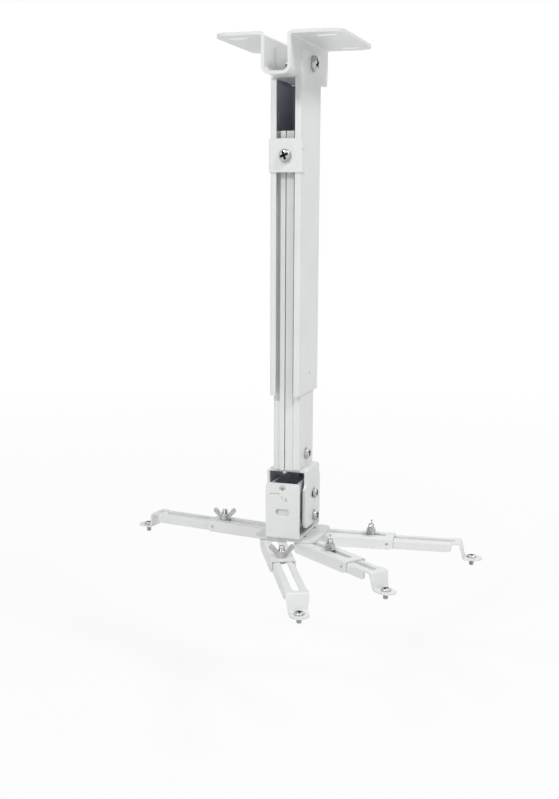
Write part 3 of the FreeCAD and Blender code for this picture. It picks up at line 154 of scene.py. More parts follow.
# The studio: half the floor's width, how far the floor has faded to white near the object
# and far from it with the distances of both, the point that the lamps face, and each
# lamp's name, place, width, height and watts.
FLOOR_HALF = 6.0
FLOOR_FADE = (0.86, 1.0, 0.7, 2.4)
LAMP_AIM = (0, 0, -0.45)
LAMPS = (
    ("key_softbox", (-1.0, -2.7, 1.9), 0.55, 0.55, 46),
    ("fill_softbox", (2.1, -1.05, 2.3), 0.7, 0.7, 48),
    ("back_softbox", (0.4, 1.7, 1.0), 1.4, 1.0, 6),
)
WHITE = (1.0, 1.0, 1.0, 1.0)


def length(name, text, default):
    """A length that a user can change, given in millimetres."""
    return bpy.props.FloatProperty(
        name=name, description=text, default=default * MM, min=0.0, unit="LENGTH", precision=5)


def share(name, text, default):
    return bpy.props.FloatProperty(
        name=name, description=text, default=default, min=0.0, max=1.0, subtype="FACTOR")


def colour(name, text, default):
    return bpy.props.FloatVectorProperty(
        name=name, description=text, default=default, size=4, min=0.0, max=1.0, subtype="COLOR")


def degrees(name, text, default):
    return bpy.props.FloatProperty(
        name=name, description=text, default=math.radians(default), subtype="ANGLE")


class CoatSettings(bpy.types.PropertyGroup):
    """Finish of the sheet metal."""

    coat: colour("Coat", "White powder coat", (0.80, 0.815, 0.80, 1.0))
    thin_coat: colour("Thin coat", "Coat where it runs thin on an edge", (0.70, 0.71, 0.69, 1.0))
    # Inside: painted shade, a darker colour on faces in the hollows of the column and the head.
    inside: colour("Inside", "Bare faces inside the column and the head", (0.43, 0.46, 0.51, 1.0))
    grain: length("Grain", "Size of the coat's texture", 0.55)
    relief: length("Relief", "Height of the coat's texture", 0.02)
    soft_edge: length("Soft edge", "Radius that the coat gives to sheet edges", 0.35)
    roughness: share("Roughness", "Roughness of the coat", 0.42)


class MetalSettings(bpy.types.PropertyGroup):
    """Finish of the fasteners and of the moulded parts."""

    bright: colour("Bright zinc", "Plating of screws and wing nuts", (0.53, 0.53, 0.54, 1.0))
    plain: colour("Plain zinc", "Plating of nuts, rivets and clamp bolts", (0.40, 0.40, 0.39, 1.0))
    # Recess: near black, painted shade for the depth of a driver recess.
    recess: colour("Recess", "Shaded steel in a driver recess", (0.012, 0.012, 0.014, 1.0))
    nylon: colour("Nylon", "Moulded spacers and guides", (0.022, 0.021, 0.026, 1.0))
    roughness: share("Roughness", "Roughness of the bright plating", 0.2)


class FastenerSettings(bpy.types.PropertyGroup):
    """Sizes of the fasteners that the model's boxes do not give."""

    m5: length("M5 shank", "Radius of the foot screws", 2.5)
    m6: length("M6 shank", "Radius of most screws", 3.0)
    m8: length("M8 shank", "Radius of the swivel and yoke bolts", 4.0)
    pan_height: length("Pan head", "Height of the large pan heads", 4.6)
    lock_height: length("Lock head", "Height of the small lock heads", 3.6)
    cross_height: length("Cross bolt head", "Height of the cross bolt's head", 4.8)
    clamp_height: length("Clamp head", "Height of the clamp bolts' heads", 3.4)
    foot_height: length("Foot head", "Height of the foot screw heads", 2.6)
    cap_height: length("Cap head", "Height of the swivel bolt's head", 3.6)
    hex_height: length("Hexagon head", "Height of the yoke bolt's head", 5.0)
    rivet: length("Rivet", "Radius of the roll pivots", 2.0)
    rivet_height: length("Rivet head", "Height of the roll pivots' heads", 1.2)
    neck: length("Neck", "Radius of a foot screw's neck", 2.2)
    neck_length: length("Neck length", "Neck of a foot screw, below its head", 2.0)


class ScaleSettings(bpy.types.PropertyGroup):
    """Angle marks on the front plate of the head, and a painted shadow of the rivet's dome in the
    same grey.
    """

    # Marks: the grey of the pressed marks and of the painted dome shadow.
    ink: colour("Marks", "Grey of the pressed marks", (0.30, 0.31, 0.31, 1.0))
    width: length("Width", "Width of a mark", 0.55)
    rise: length("Rise", "How far a mark stands off the coat", 0.04)


class StudioSettings(bpy.types.PropertyGroup):
    """Camera, floor and light."""

    camera_place: bpy.props.FloatVectorProperty(
        name="Camera", description="Where the camera stands", default=(0.330, -1.063, -0.155),
        subtype="TRANSLATION", unit="LENGTH")
    turn: degrees("Turn", "Camera to the right of the front", 17.97)
    dip: degrees("Dip", "Camera tilted down", 14.41)
    roll: degrees("Roll", "Camera rolled", 0.25)
    lens: bpy.props.FloatProperty(
        name="Lens", description="Focal length", default=50.64, subtype="DISTANCE_CAMERA")
    rise: bpy.props.FloatProperty(
        name="Rise", description="Vertical shift of the lens", default=0.1283)
    floor: bpy.props.FloatProperty(
        name="Floor", description="Level of the floor, below the column's full reach",
        default=-0.664, unit="LENGTH")
    pale: colour("Floor colour", "Floor and backdrop", (0.93, 0.93, 0.93, 1.0))
    ambient: colour("Ambient", "Light from all round", (0.96, 0.98, 1.0, 1.0))
    ambient_strength: share("Ambient strength", "Strength of the light from all round", 0.35)


SETTINGS = {
    "mount_coat": CoatSettings, "mount_metal": MetalSettings, "mount_fasteners": FastenerSettings,
    "mount_scale": ScaleSettings, "mount_studio": StudioSettings,
}


def settings(name):
    return getattr(bpy.context.scene, name)


# Materials.


class Tree:
    """The nodes of a material or of the world, and short ways to add and link them."""

    def __init__(self, tree):
        self.nodes = tree.nodes
        self.links = tree.links

    def add(self, kind, **values):
        node = self.nodes.new(kind)
        for name, value in values.items():
            setattr(node, name, value)
        return node

    def link(self, source, target):
        self.links.new(source, target)

    def feed(self, target, value):
        """Let an input follow a socket, or set it to a plain value."""
        if isinstance(value, bpy.types.NodeSocket):
            self.link(value, target)
        else:
            target.default_value = value

    def maths(self, operation, first, second=None):
        """One operation on a socket, with a second socket or a number where it takes two."""
        node = self.add("ShaderNodeMath", operation=operation)
        self.link(first, node.inputs[0])
        if second is not None:
            self.feed(node.inputs[1], second)
        return node.outputs["Value"]

    def mix(self, amount, first, second):
        """The second shader over the first, as far as the amount says."""
        node = self.add("ShaderNodeMixShader")
        self.link(amount, node.inputs["Fac"])
        self.link(first, node.inputs[1])
        self.link(second, node.inputs[2])
        return node.outputs["Shader"]

    def seen_rays(self):
        """1 for rays that show the background itself: to the camera, off metal or through glass."""
        path = self.add("ShaderNodeLightPath")
        found = path.outputs["Is Camera Ray"]
        for kind in ("Is Glossy Ray", "Is Transmission Ray"):
            found = self.maths("MAXIMUM", found, path.outputs[kind])
        return found


class Shader(Tree):
    """A material with a principled surface."""

    def __init__(self, name):
        self.material = bpy.data.materials.new(name)
        self.material.use_nodes = True
        super().__init__(self.material.node_tree)
        self.surface = self.nodes["Principled BSDF"]
        self.place = self.add("ShaderNodeTexCoord").outputs["Object"]

    def give(self, name, value):
        """Set one input of the surface to a socket or a plain value."""
        self.feed(self.surface.inputs[name], value)

    def noise(self, size, detail=3.0, roughness=0.5):
        """Noise with features of a given size."""
        node = self.add("ShaderNodeTexNoise")
        node.inputs["Scale"].default_value = 1.0 / size
        node.inputs["Detail"].default_value = detail
        node.inputs["Roughness"].default_value = roughness
        self.link(self.place, node.inputs["Vector"])
        return node.outputs["Fac"]

    def spread(self, source, low, high, start=0.3, end=0.7):
        """Map a value between start and end to one between low and high."""
        node = self.add("ShaderNodeMapRange")
        limits = {"From Min": start, "From Max": end, "To Min": low, "To Max": high}
        for name, limit in limits.items():
            node.inputs[name].default_value = limit
        self.link(source, node.inputs["Value"])
        return node.outputs["Result"]

    def blend(self, amount, first, second):
        """Mix two colours, each a socket or four numbers."""
        node = self.add("ShaderNodeMix", data_type="RGBA")
        self.link(amount, node.inputs["Factor"])
        for name, value in (("A", first), ("B", second)):
            socket = [item for item in node.inputs if item.name == name and item.type == "RGBA"][0]
            self.feed(socket, value)
        return [item for item in node.outputs if item.type == "RGBA"][0]

    def relief(self, height, depth, strength=1.0, normal=None):
        """Let fine bumps of a given depth turn the surface's normals."""
        node = self.add("ShaderNodeBump")
        node.inputs["Strength"].default_value = strength
        node.inputs["Distance"].default_value = depth
        self.link(height, node.inputs["Height"])
        if normal:
            self.link(normal, node.inputs["Normal"])
        self.give("Normal", node.outputs["Normal"])

    def soft_edges(self, radius):
        """Rounded normals along edges, and how strong the rounding is at a point."""
        bevel = self.add("ShaderNodeBevel", samples=6)
        bevel.inputs["Radius"].default_value = radius
        flat = self.add("ShaderNodeNewGeometry")
        agreement = self.add("ShaderNodeVectorMath", operation="DOT_PRODUCT")
        self.link(bevel.outputs["Normal"], agreement.inputs[0])
        self.link(flat.outputs["True Normal"], agreement.inputs[1])
        edge = self.spread(agreement.outputs["Value"], 1.0, 0.0, *EDGE_AGREEMENT)
        return bevel.outputs["Normal"], edge

    def coordinates(self):
        """X, Y and Z of a point."""
        split = self.add("ShaderNodeSeparateXYZ")
        self.link(self.place, split.inputs["Vector"])
        return split.outputs

    def hollow_shade_mask(self, half_x, half_y, top):
        """1 where a point lies this close to the column's axis and below a level: where the
        hollow's painted shade goes.
        """
        point = self.coordinates()
        inside = self.maths("LESS_THAN", point["Z"], top)
        for name, half in (("X", half_x), ("Y", half_y)):
            near = self.maths("LESS_THAN", self.maths("ABSOLUTE", point[name]), half)
            inside = self.maths("MULTIPLY", inside, near)
        return inside

    def above(self, level):
        """1 where a point lies above a level: where a rim's painted shade goes."""
        return self.maths("GREATER_THAN", self.coordinates()["Z"], level)


def tinted(base, factor):
    """A colour with each channel times a factor, up to 1."""
    return tuple(min(1.0, channel * factor) for channel in base[:3]) + (1.0,)


def powder_coat(name, inside=None, rim=None):
    """White coat with fine texture, faint clouding and softened sheet edges. inside gives
    the half widths and the top of a hollow whose inner faces get a darker colour as painted
    shade, and rim the level above which a cut edge gets that painted shade too."""
    coat = settings("mount_coat")
    shader = Shader(name)
    normal, edge = shader.soft_edges(coat.soft_edge)
    clouds = shader.spread(shader.noise(30 * MM, 4.0), 0.0, 0.35)
    specks = shader.spread(shader.noise(1.1 * MM, 2.0), 0.0, 0.5, 0.62, 0.8)
    wear = shader.spread(shader.noise(4 * MM, 3.0), 0.2, 0.9)
    shade = shader.blend(clouds, coat.coat, coat.thin_coat)
    shade = shader.blend(specks, shade, coat.thin_coat)
    shade = shader.blend(shader.maths("MULTIPLY", edge, wear), shade, coat.thin_coat)
    # Painted shade: the darker inside colour in the hollow and on the rim.
    if inside is not None:
        shade = shader.blend(shader.hollow_shade_mask(*inside), shade, coat.inside)
    if rim is not None:
        shade = shader.blend(shader.above(rim), shade, coat.inside)
    shader.give("Base Color", shade)
    sheen = shader.noise(6 * MM, 4.0)
    shader.give("Roughness", shader.spread(sheen, coat.roughness - 0.06, coat.roughness + 0.08))
    shader.give("Coat Weight", 0.15)
    shader.give("Coat Roughness", 0.3)
    shader.relief(shader.noise(coat.grain, 3.0, 0.6), coat.relief, 0.6, normal)
    return shader.material


def plating(name, base, roughness):
    """Zinc plating: metal with uneven gloss, fine pits and slightly dulled patches."""
    shader = Shader(name)
    patches = shader.spread(shader.noise(3.5 * MM, 4.0), 0.0, 1.0, 0.42, 0.75)
    shader.give("Base Color", shader.blend(patches, base, tinted(base, 0.72)))
    shader.give("Metallic", 1.0)
    gloss = shader.noise(1.6 * MM, 3.0)
    shader.give("Roughness", shader.spread(gloss, roughness - 0.05, roughness + 0.14))
    shader.relief(shader.noise(0.5 * MM, 2.0), 0.01 * MM, 0.5)
    return shader.material


def shaded_recess(name):
    """Near-black steel at the bottom of a driver recess: painted shade for its depth, with lighter
    scratches.
    """
    steel = settings("mount_metal").recess
    shader = Shader(name)
    scratches = shader.spread(shader.noise(0.6 * MM, 3.0), 0.0, 1.0, 0.5, 0.8)
    shader.give("Base Color", shader.blend(scratches, steel, tinted(steel, 4)))
    shader.give("Metallic", 0.6)
    shader.give("Roughness", 0.5)
    shader.relief(shader.noise(0.4 * MM, 2.0), 0.01 * MM)
    return shader.material


def moulded_nylon():
    """Dark nylon with a fine spark-eroded texture."""
    nylon = settings("mount_metal").nylon
    shader = Shader("moulded_nylon")
    normal, edge = shader.soft_edges(0.25 * MM)
    shader.give("Base Color", shader.blend(edge, nylon, tinted(nylon, 2.2)))
    shader.give("Roughness", shader.spread(shader.noise(2.2 * MM, 3.0), 0.42, 0.6))
    shader.relief(shader.noise(0.3 * MM, 3.0), 0.015 * MM, 0.7, normal)
    return shader.material


def ink_and_dome_shadow():
    """Grey of the pressed angle marks, uneven like a worn stamp; it also colours the painted shadow
    arc over the rivet's dome.
    """
    ink = settings("mount_scale").ink
    shader = Shader("pressed_marks_and_dome_shadow")
    wear = shader.spread(shader.noise(0.9 * MM, 4.0), 0.0, 1.0, 0.45, 0.75)
    shader.give("Base Color", shader.blend(wear, ink, tinted(ink, 1.7)))
    shader.give("Roughness", 0.6)
    shader.relief(shader.noise(0.6 * MM, 2.0), 0.01 * MM)
    return shader.material


def finish_of(name, maker, *values):
    """The material of that name, made the first time that it is asked for."""
    return bpy.data.materials.get(name) or maker(name, *values)


def bright_zinc():
    metal = settings("mount_metal")
    return finish_of("bright_zinc_plating", plating, metal.bright, metal.roughness)


def plain_zinc():
    metal = settings("mount_metal")
    return finish_of("plain_zinc_plating", plating, metal.plain, metal.roughness + 0.12)


def recess_shade():
    return finish_of("driver_recess", shaded_recess)


def dress(item, *materials):
    """Put materials in an object's slots, in place of those that it has."""
    item.data.materials.clear()
    for material in materials:
        item.data.materials.append(material)


# Meshes.


def shade_smooth(mesh, sharp):
    for face in mesh.polygons:
        face.use_smooth = True
    mesh.set_sharp_from_angle(angle=math.radians(sharp))


def add_piece(name, built, sharp=SHARP):
    """An object of this bmesh, which is used up, shaded smooth up to a given angle."""
    bmesh.ops.recalc_face_normals(built, faces=built.faces)
    mesh = bpy.data.meshes.new(name)
    built.to_mesh(mesh)
    built.free()
    shade_smooth(mesh, sharp)
    item = bpy.data.objects.new(name, mesh)
    bpy.context.scene.collection.objects.link(item)
    return item


def settle(item, sharp):
    """Apply an object's modifiers to its mesh."""
    graph = bpy.context.evaluated_depsgraph_get()
    mesh = bpy.data.meshes.new_from_object(item.evaluated_get(graph))
    item.modifiers.clear()
    old = item.data
    item.data = mesh
    mesh.name = item.name
    bpy.data.meshes.remove(old)
    shade_smooth(mesh, sharp)


def carve(item, tool, sharp=SHARP):
    """Cut one object with another, which is used up."""
    change = item.modifiers.new("Carve", "BOOLEAN")
    change.operation = "DIFFERENCE"
    change.solver = "EXACT"
    change.material_mode = "TRANSFER"
    change.object = tool
    settle(item, sharp)
    used = tool.data
    bpy.data.objects.remove(tool)
    bpy.data.meshes.remove(used)


def add_ring(built, height, radius, count):
    """A ring of points about Z. radius is a number or gives one for each angle."""
    ring = []
    for step in range(count):
        angle = 2 * math.pi * step / count
        reach = radius(angle) if callable(radius) else radius
        ring.append(built.verts.new((reach * math.cos(angle), reach * math.sin(angle), height)))
    return ring


def skin(built, rings, closed=False):
    """Quads between rings in turn, with the ends capped or joined to each other."""
    pairs = list(zip(rings, rings[1:]))
    if closed:
        pairs.append((rings[-1], rings[0]))
    for low, high in pairs:
        count = len(low)
        for step in range(count):
            after = (step + 1) % count
            built.faces.new((low[step], low[after], high[after], high[step]))
    if not closed:
        built.faces.new(list(reversed(rings[0])))
        built.faces.new(rings[-1])


def thread_radius(radius, pitch, height):
    """Radius of a helical thread at one height, as a function of the angle."""
    depth = pitch * THREAD_DEPTH

    def reach(angle):
        phase = (height / pitch - angle / (2 * math.pi)) % 1.0
        return radius - depth * (1 - abs(2 * phase - 1))
    return reach


def threaded_rings(built, radius, low, high, pitch, count):
    """Rings of a threaded stretch, with a chamfered tip and a short run-out."""
    rings = [add_ring(built, low, radius * TIP_RADIUS, count)]
    tip = low + pitch * THREAD_TIP
    runout = high - pitch * THREAD_RUNOUT
    steps = max(2, int(round((runout - tip) / (pitch / THREAD_STEPS))))
    for step in range(steps + 1):
        height = tip + (runout - tip) * step / steps
        rings.append(add_ring(built, height, thread_radius(radius, pitch, height), count))
    rings.append(add_ring(built, high, radius, count))
    return rings


def hexagon_reach(flats, limit):
    """Radius of a hexagon with a corner on X, cut back to a circle."""
    def reach(angle):
        turn = angle % (math.pi / 3) - math.pi / 6
        return min(flats / 2 / math.cos(turn), limit)
    return reach


def head_rings(built, radius, height, count, style):
    """Rings of a turned head that stands on z = 0."""
    return [add_ring(built, height * rise, radius * reach, count)
            for reach, rise in HEAD_PROFILES[style]]


def hex_head_rings(built, flats, height, count):
    """Rings of a hexagon head that stands on z = 0, with a chamfered top."""
    corner = flats / math.sqrt(3)
    chamfer = height * 0.16
    outline = ((0, corner * 0.98), (height - chamfer, corner),
               (height - chamfer * 0.4, corner * 0.94), (height, flats / 2 * 0.96))
    return [add_ring(built, level, hexagon_reach(flats, limit), count) for level, limit in outline]


def cut_cross(item, radius, height):
    """Cut a tapered cross recess into a head that stands on z = 0."""
    built = bmesh.new()
    rings = []
    for level, grow in CROSS_LEVELS:
        reach = radius * CROSS_REACH * grow
        arm = radius * CROSS_ARM * (0.5 + grow / 2)
        corners = [(reach, -arm), (reach, arm), (arm, arm)]
        for _ in range(3):
            corners += [(-y, x) for x, y in corners[-3:]]
        rings.append([built.verts.new((x, y, height * level)) for x, y in corners])
    skin(built, rings)
    tool = add_piece("cross_tool", built)
    # The recess's faces take the near-black painted shade.
    dress(tool, recess_shade())
    carve(item, tool)


def make_screw(name, radius, reach, head, height, pitch, style, neck, finish):
    """A threaded fastener along Z, its head standing on z = 0. style is pan, dome or hex,
    and a pan head gets a cross recess. neck is a narrower stretch: radius and length."""
    count = HEX_STEPS if style == "hex" else ROUND_STEPS
    built = bmesh.new()
    top = -neck[1] if neck else 0.0
    rings = threaded_rings(built, radius, -reach, top, pitch, count)
    if neck:
        for level in (top + NECK_RAMP, 0):
            rings.append(add_ring(built, level, neck[0], count))
    if style == "hex":
        rings += hex_head_rings(built, head * 2, height, count)
    else:
        rings += head_rings(built, head, height, count, style)
    skin(built, rings)
    item = add_piece(name, built)
    dress(item, finish or bright_zinc(), recess_shade())
    if style == "pan":
        cut_cross(item, head, height)
    return item


def make_nut(name, flats, bore, height):
    """A chamfered hexagon nut that hangs below z = 0, with a countersunk bore."""
    chamfer = height * 0.14
    sink = height * 0.08
    rim = bore * 1.12
    side = hexagon_reach(flats, flats / math.sqrt(3))
    face = hexagon_reach(flats, flats / 2 * 0.97)
    outline = ((-height, rim), (-height, face), (-height + chamfer, side), (-chamfer, side),
               (0, face), (0, rim), (-sink, bore), (-height + sink, bore))
    built = bmesh.new()
    skin(built, [add_ring(built, level, reach, NUT_STEPS) for level, reach in outline], closed=True)
    item = add_piece(name, built, NUT_SHARP)
    dress(item, plain_zinc())
    return item


def make_rivet(name, radius, reach, head, height):
    """A rivet along Z, its head standing on z = 0 and its other end set with a flat rim."""
    built = bmesh.new()
    rings = [add_ring(built, -reach + rise, radius * part, ROUND_STEPS)
             for rise, part in RIVET_END]
    rings.append(add_ring(built, 0, radius, ROUND_STEPS))
    rings += head_rings(built, head, height, ROUND_STEPS, "dome")
    skin(built, rings)
    item = add_piece(name, built)
    dress(item, plain_zinc())
    return item


def make_wing_nut(name, bore):
    """A cast wing nut along Z: a round body with a collar, and two raised ears that are
    grown together with it."""
    built = bmesh.new()
    skin(built, [add_ring(built, z * MM, r * MM, WING_STEPS) for r, z in WING_BODY])
    for side in (1, -1):
        faces = []
        for half in (EAR_HALF, -EAR_HALF):
            thick = [half * (EAR_ROOT - EAR_TAPER * x) for x, z in EAR]
            faces.append([built.verts.new((x * side * MM, y * MM, z * MM))
                          for (x, z), y in zip(EAR, thick)])
        skin(built, faces)
    item = add_piece(name, built, CAST_SHARP)
    grow = item.modifiers.new("Cast", "REMESH")
    grow.mode = "VOXEL"
    grow.voxel_size = CAST_GRAIN
    grow.use_smooth_shade = True
    relax = item.modifiers.new("Relax", "SMOOTH")
    relax.factor = 0.5
    relax.iterations = CAST_SOFTENING
    settle(item, CAST_SHARP)
    hole = bmesh.new()
    skin(hole, [add_ring(hole, z, bore, WING_STEPS) for z in BORE_ENDS])
    tool = add_piece("bore_tool", hole)
    dress(item, bright_zinc())
    dress(tool, bright_zinc())
    carve(item, tool, BORED_SHARP)
    dress(item, bright_zinc())
    return item


# Places of the fasteners, taken from the model's boxes.


def solid_boxes(node, split):
    """Corners of each solid of a node. split names the axes that keep its solids apart."""
    groups = {}
    for vertex in frame["nodes"][node].data.vertices:
        key = tuple(vertex.co["xyz".index(axis)] > 0 for axis in split)
        groups.setdefault(key, []).append(vertex.co)
    boxes = {}
    for key, points in groups.items():
        low = Vector([min(values) for values in zip(*points)])
        high = Vector([max(values) for values in zip(*points)])
        boxes[key] = (low, high)
    return boxes


def spot_of(node, toward):
    """A node's only fastener: its name, node, box and the direction that its head faces."""
    return node + "_detail", node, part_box(node), toward


def side_spots(node):
    """The same for a right and a left fastener of one node, which face outward."""
    for (right,), box in solid_boxes(node, "x").items():
        side = "right" if right else "left"
        yield "%s_%s" % (node[:-1], side), node, box, (1 if right else -1, 0, 0)


def axis_of(toward):
    """The number of the axis that a direction runs along."""
    return max(range(3), key=lambda number: abs(toward[number]))


def extents_of(box):
    low, high = box
    return [high[axis] - low[axis] for axis in range(3)]


def end_of(box, toward):
    """Middle of the side of a box that faces a direction."""
    low, high = box
    axis = axis_of(toward)
    place = (low + high) / 2
    place[axis] = high[axis] if toward[axis] > 0 else low[axis]
    return place


def seat_along(box, toward, height):
    """Place under a fastener's head, its length below it and its head's radius."""
    axis = axis_of(toward)
    extents = extents_of(box)
    seat = end_of(box, toward)
    seat[axis] -= height * toward[axis]
    return seat, extents[axis] - height, extents[(axis + 1) % 3] / 2


def turn_upright(place, toward, spin=0.0):
    """Matrix that stands a piece made along Z at a place, with +Z along a direction."""
    rotation = Vector(UP).rotation_difference(Vector(toward)).to_matrix().to_4x4()
    return Matrix.Translation(place) @ rotation @ Matrix.Rotation(spin, 4, "Z")


def stand_in(item, node):
    """Show a detailed piece in place of a node, with the node's body."""
    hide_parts(node)
    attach(item, BODY_OF[node])


def fit_screw(spot, radius, height, style="pan", pitch=1.0, spin=0.4, neck=None, finish=None):
    """Put a detailed screw at a spot. height is its head's, pitch is in millimetres and spin
    turns its recess, in radians."""
    name, node, box, toward = spot
    seat, reach, head = seat_along(box, toward, height)
    if style == "hex":
        head = min(extents_of(box)) / 2
    item = make_screw(name, radius, reach, head, height, pitch * MM, style, neck, finish)
    item.matrix_world = turn_upright(seat, toward, spin)
    stand_in(item, node)


def fit_nut(spot, bore):
    """Put a chamfered nut at a spot, whose direction points out of the nut's top."""
    name, node, box, toward = spot
    extents = extents_of(box)
    height = extents.pop(axis_of(toward))
    item = make_nut(name, min(extents), bore, height)
    item.matrix_world = turn_upright(end_of(box, toward), toward)
    stand_in(item, node)


def fit_rivet(spot):
    """Put a rivet at a spot, its head facing inward."""
    name, node, box, toward = spot
    sizes = settings("mount_fasteners")
    seat, reach, _ = seat_along(box, toward, sizes.rivet_height)
    head = extents_of(box)[0] / 2
    item = make_rivet(name, sizes.rivet, reach, head, sizes.rivet_height)
    item.matrix_world = turn_upright(seat, toward)
    stand_in(item, node)


def wing_direction(node, middle):
    """Angle of the line through both tips of a wing nut of the model."""
    spread = [vertex.co - middle for vertex in frame["nodes"][node].data.vertices]
    far_out = 0.95 * max(math.hypot(point.x, point.y) for point in spread)
    tips = [math.atan2(point.y, point.x) * 2 for point in spread
            if math.hypot(point.x, point.y) > far_out]
    return math.atan2(sum(map(math.sin, tips)), sum(map(math.cos, tips))) / 2


def fit_wing_nut(node, bore):
    """Put a cast wing nut where one of the model's is, its ears turned as there."""
    item = make_wing_nut(node + "_detail", bore)
    place = end_of(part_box(node), DOWN)
    item.matrix_world = turn_upright(place, UP, wing_direction(node, place))
    stand_in(item, node)


# Pieces.


def nodes_in(slot):
    """The model's nodes of one material slot."""
    return [node for node, own in SLOT_OF.items() if own == slot]


def hollow_of(node, inset):
    """Half widths and top of a node's hollow, this far inside its box."""
    low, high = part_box(node)
    side, end, top = inset
    return ((high.x - low.x) / 2 - side, min(-low.y, high.y) - end, high.z - top)


class MOUNT_OT_sheet_metal(bpy.types.Operator):
    """Powder coat the sheet metal and the column's plug"""

    bl_idname = "mount.sheet_metal"
    bl_label = "Coat Sheet Metal"

    def execute(self, context):
        coat = powder_coat("white_powder_coat")
        # The hollows of the column, the yoke and the block, and the block's rim, get painted shade.
        insets = {"outer_column": COLUMN_INSET, "head_yoke": YOKE_INSET,
                  "pitch_block": BLOCK_INSET}
        shaded_rims = {"pitch_block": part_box("pitch_block")[1].z - SHADED_RIM_DEPTH}
        for node in nodes_in("white_coat"):
            finish = coat
            if node in insets:
                finish = powder_coat(node + "_coat", hollow_of(node, insets[node]), shaded_rims.get(node))
            dress(frame["nodes"][node], finish)
        return {"FINISHED"}


class MOUNT_OT_plastics(bpy.types.Operator):
    """Give the guides, spacers and swivel washer their nylon, and the nut plate its zinc"""

    bl_idname = "mount.plastics"
    bl_label = "Mould Plastics"

    def execute(self, context):
        nylon = moulded_nylon()
        for node in nodes_in("black_plastic"):
            dress(frame["nodes"][node], nylon)
        dress(frame["nodes"]["clamp_nut_plate"], plain_zinc())
        return {"FINISHED"}


class MOUNT_OT_column_fasteners(bpy.types.Operator):
    """Fit the cross bolt with its nut, the clamp screw and the plug screws"""

    bl_idname = "mount.column_fasteners"
    bl_label = "Fit Column Fasteners"

    def execute(self, context):
        sizes = settings("mount_fasteners")
        fit_screw(spot_of("cross_bolt", RIGHT), sizes.m6, sizes.cross_height, spin=0.5)
        fit_nut(spot_of("cross_nut", RIGHT), sizes.m6)
        fit_screw(spot_of("clamp_screw", FRONT), sizes.m6, sizes.pan_height, spin=0.35)
        for spot in side_spots("plug_screws"):
            fit_screw(spot, sizes.m6, sizes.pan_height, spin=0.9)
        return {"FINISHED"}


class MOUNT_OT_head_fasteners(bpy.types.Operator):
    """Fit the bolts, lock screws, nuts and rivets of the tilting head"""

    bl_idname = "mount.head_fasteners"
    bl_label = "Fit Head Fasteners"

    def execute(self, context):
        sizes = settings("mount_fasteners")
        for spot in side_spots("pitch_pivot_screws"):
            fit_screw(spot, sizes.m6, sizes.pan_height, spin=0.7)
        for spot in side_spots("pitch_lock_screws"):
            fit_screw(spot, sizes.m6, sizes.lock_height, spin=0.2)
        for node in ("pitch_pivot_nuts", "pitch_lock_nuts"):
            for spot in side_spots(node):
                fit_nut(spot, sizes.m6)
        fit_screw(spot_of("roll_lock_screw", REAR), sizes.m6, sizes.lock_height)
        fit_nut(spot_of("roll_lock_nut", REAR), sizes.m6)
        for (rear,), box in solid_boxes("roll_rivets", "y").items():
            name = "roll_rivet_" + ("rear" if rear else "front")
            fit_rivet((name, "roll_rivets", box, FRONT if rear else REAR))
        fit_screw(spot_of("swivel_bolt", UP), sizes.m8, sizes.cap_height, pitch=1.25)
        fit_nut(spot_of("swivel_nut", UP), sizes.m8)
        fit_screw(spot_of("yoke_bolt", DOWN), sizes.m8, sizes.hex_height, style="hex", pitch=1.25,
                  spin=0.0, finish=plain_zinc())
        fit_nut(spot_of("yoke_nut", UP), sizes.m8)
        return {"FINISHED"}


class MOUNT_OT_arm_pivots(bpy.types.Operator):
    """Fit the four screws on which the arms turn"""

    bl_idname = "mount.arm_pivots"
    bl_label = "Fit Arm Pivots"

    def execute(self, context):
        sizes = settings("mount_fasteners")
        boxes = solid_boxes("arm_pivot_screws", "xy")
        for number, corner in enumerate(sorted(boxes)):
            name = "arm_pivot_screw_%d" % (number + 1)
            fit_screw((name, "arm_pivot_screws", boxes[corner], DOWN), sizes.m6, sizes.lock_height,
                      spin=0.3 + number)
        return {"FINISHED"}


class MOUNT_OT_foot_screws(bpy.types.Operator):
    """Fit a captive screw in each foot"""

    bl_idname = "mount.foot_screws"
    bl_label = "Fit Foot Screws"

    def execute(self, context):
        sizes = settings("mount_fasteners")
        for number, arm in enumerate(ARMS):
            fit_screw(spot_of("foot_screw_" + arm, UP), sizes.m5, sizes.foot_height, pitch=0.8,
                      spin=0.5 + number * 0.7, neck=(sizes.neck, sizes.neck_length))
        return {"FINISHED"}


class MOUNT_OT_wing_nuts(bpy.types.Operator):
    """Fit each arm's threaded clamp bolt and its cast wing nut"""

    bl_idname = "mount.wing_nuts"
    bl_label = "Fit Wing Nuts"

    def execute(self, context):
        sizes = settings("mount_fasteners")
        for arm in ARMS:
            fit_screw(spot_of("clamp_bolt_" + arm, DOWN), sizes.m6, sizes.clamp_height,
                      style="dome", finish=plain_zinc())
            fit_wing_nut("wing_nut_" + arm, sizes.m6 + BORE_PLAY)
        return {"FINISHED"}


def add_mark(built, start, end, front, marks):
    """One round-ended mark that stands a hair off a plate that faces the front."""
    run = (end - start).normalized()
    aside = Vector((run.z, 0, -run.x))
    radius = marks.width / 2
    edge = []
    for centre, first in ((end, -90), (start, 90)):
        for step in range(7):
            angle = math.radians(first + step * 30)
            edge.append(centre + run * radius * math.cos(angle) + aside * radius * math.sin(angle))
    skin(built, [[built.verts.new((point.x, level, point.z)) for point in edge]
                 for level in (front + MARK_ROOT, front - marks.rise)])


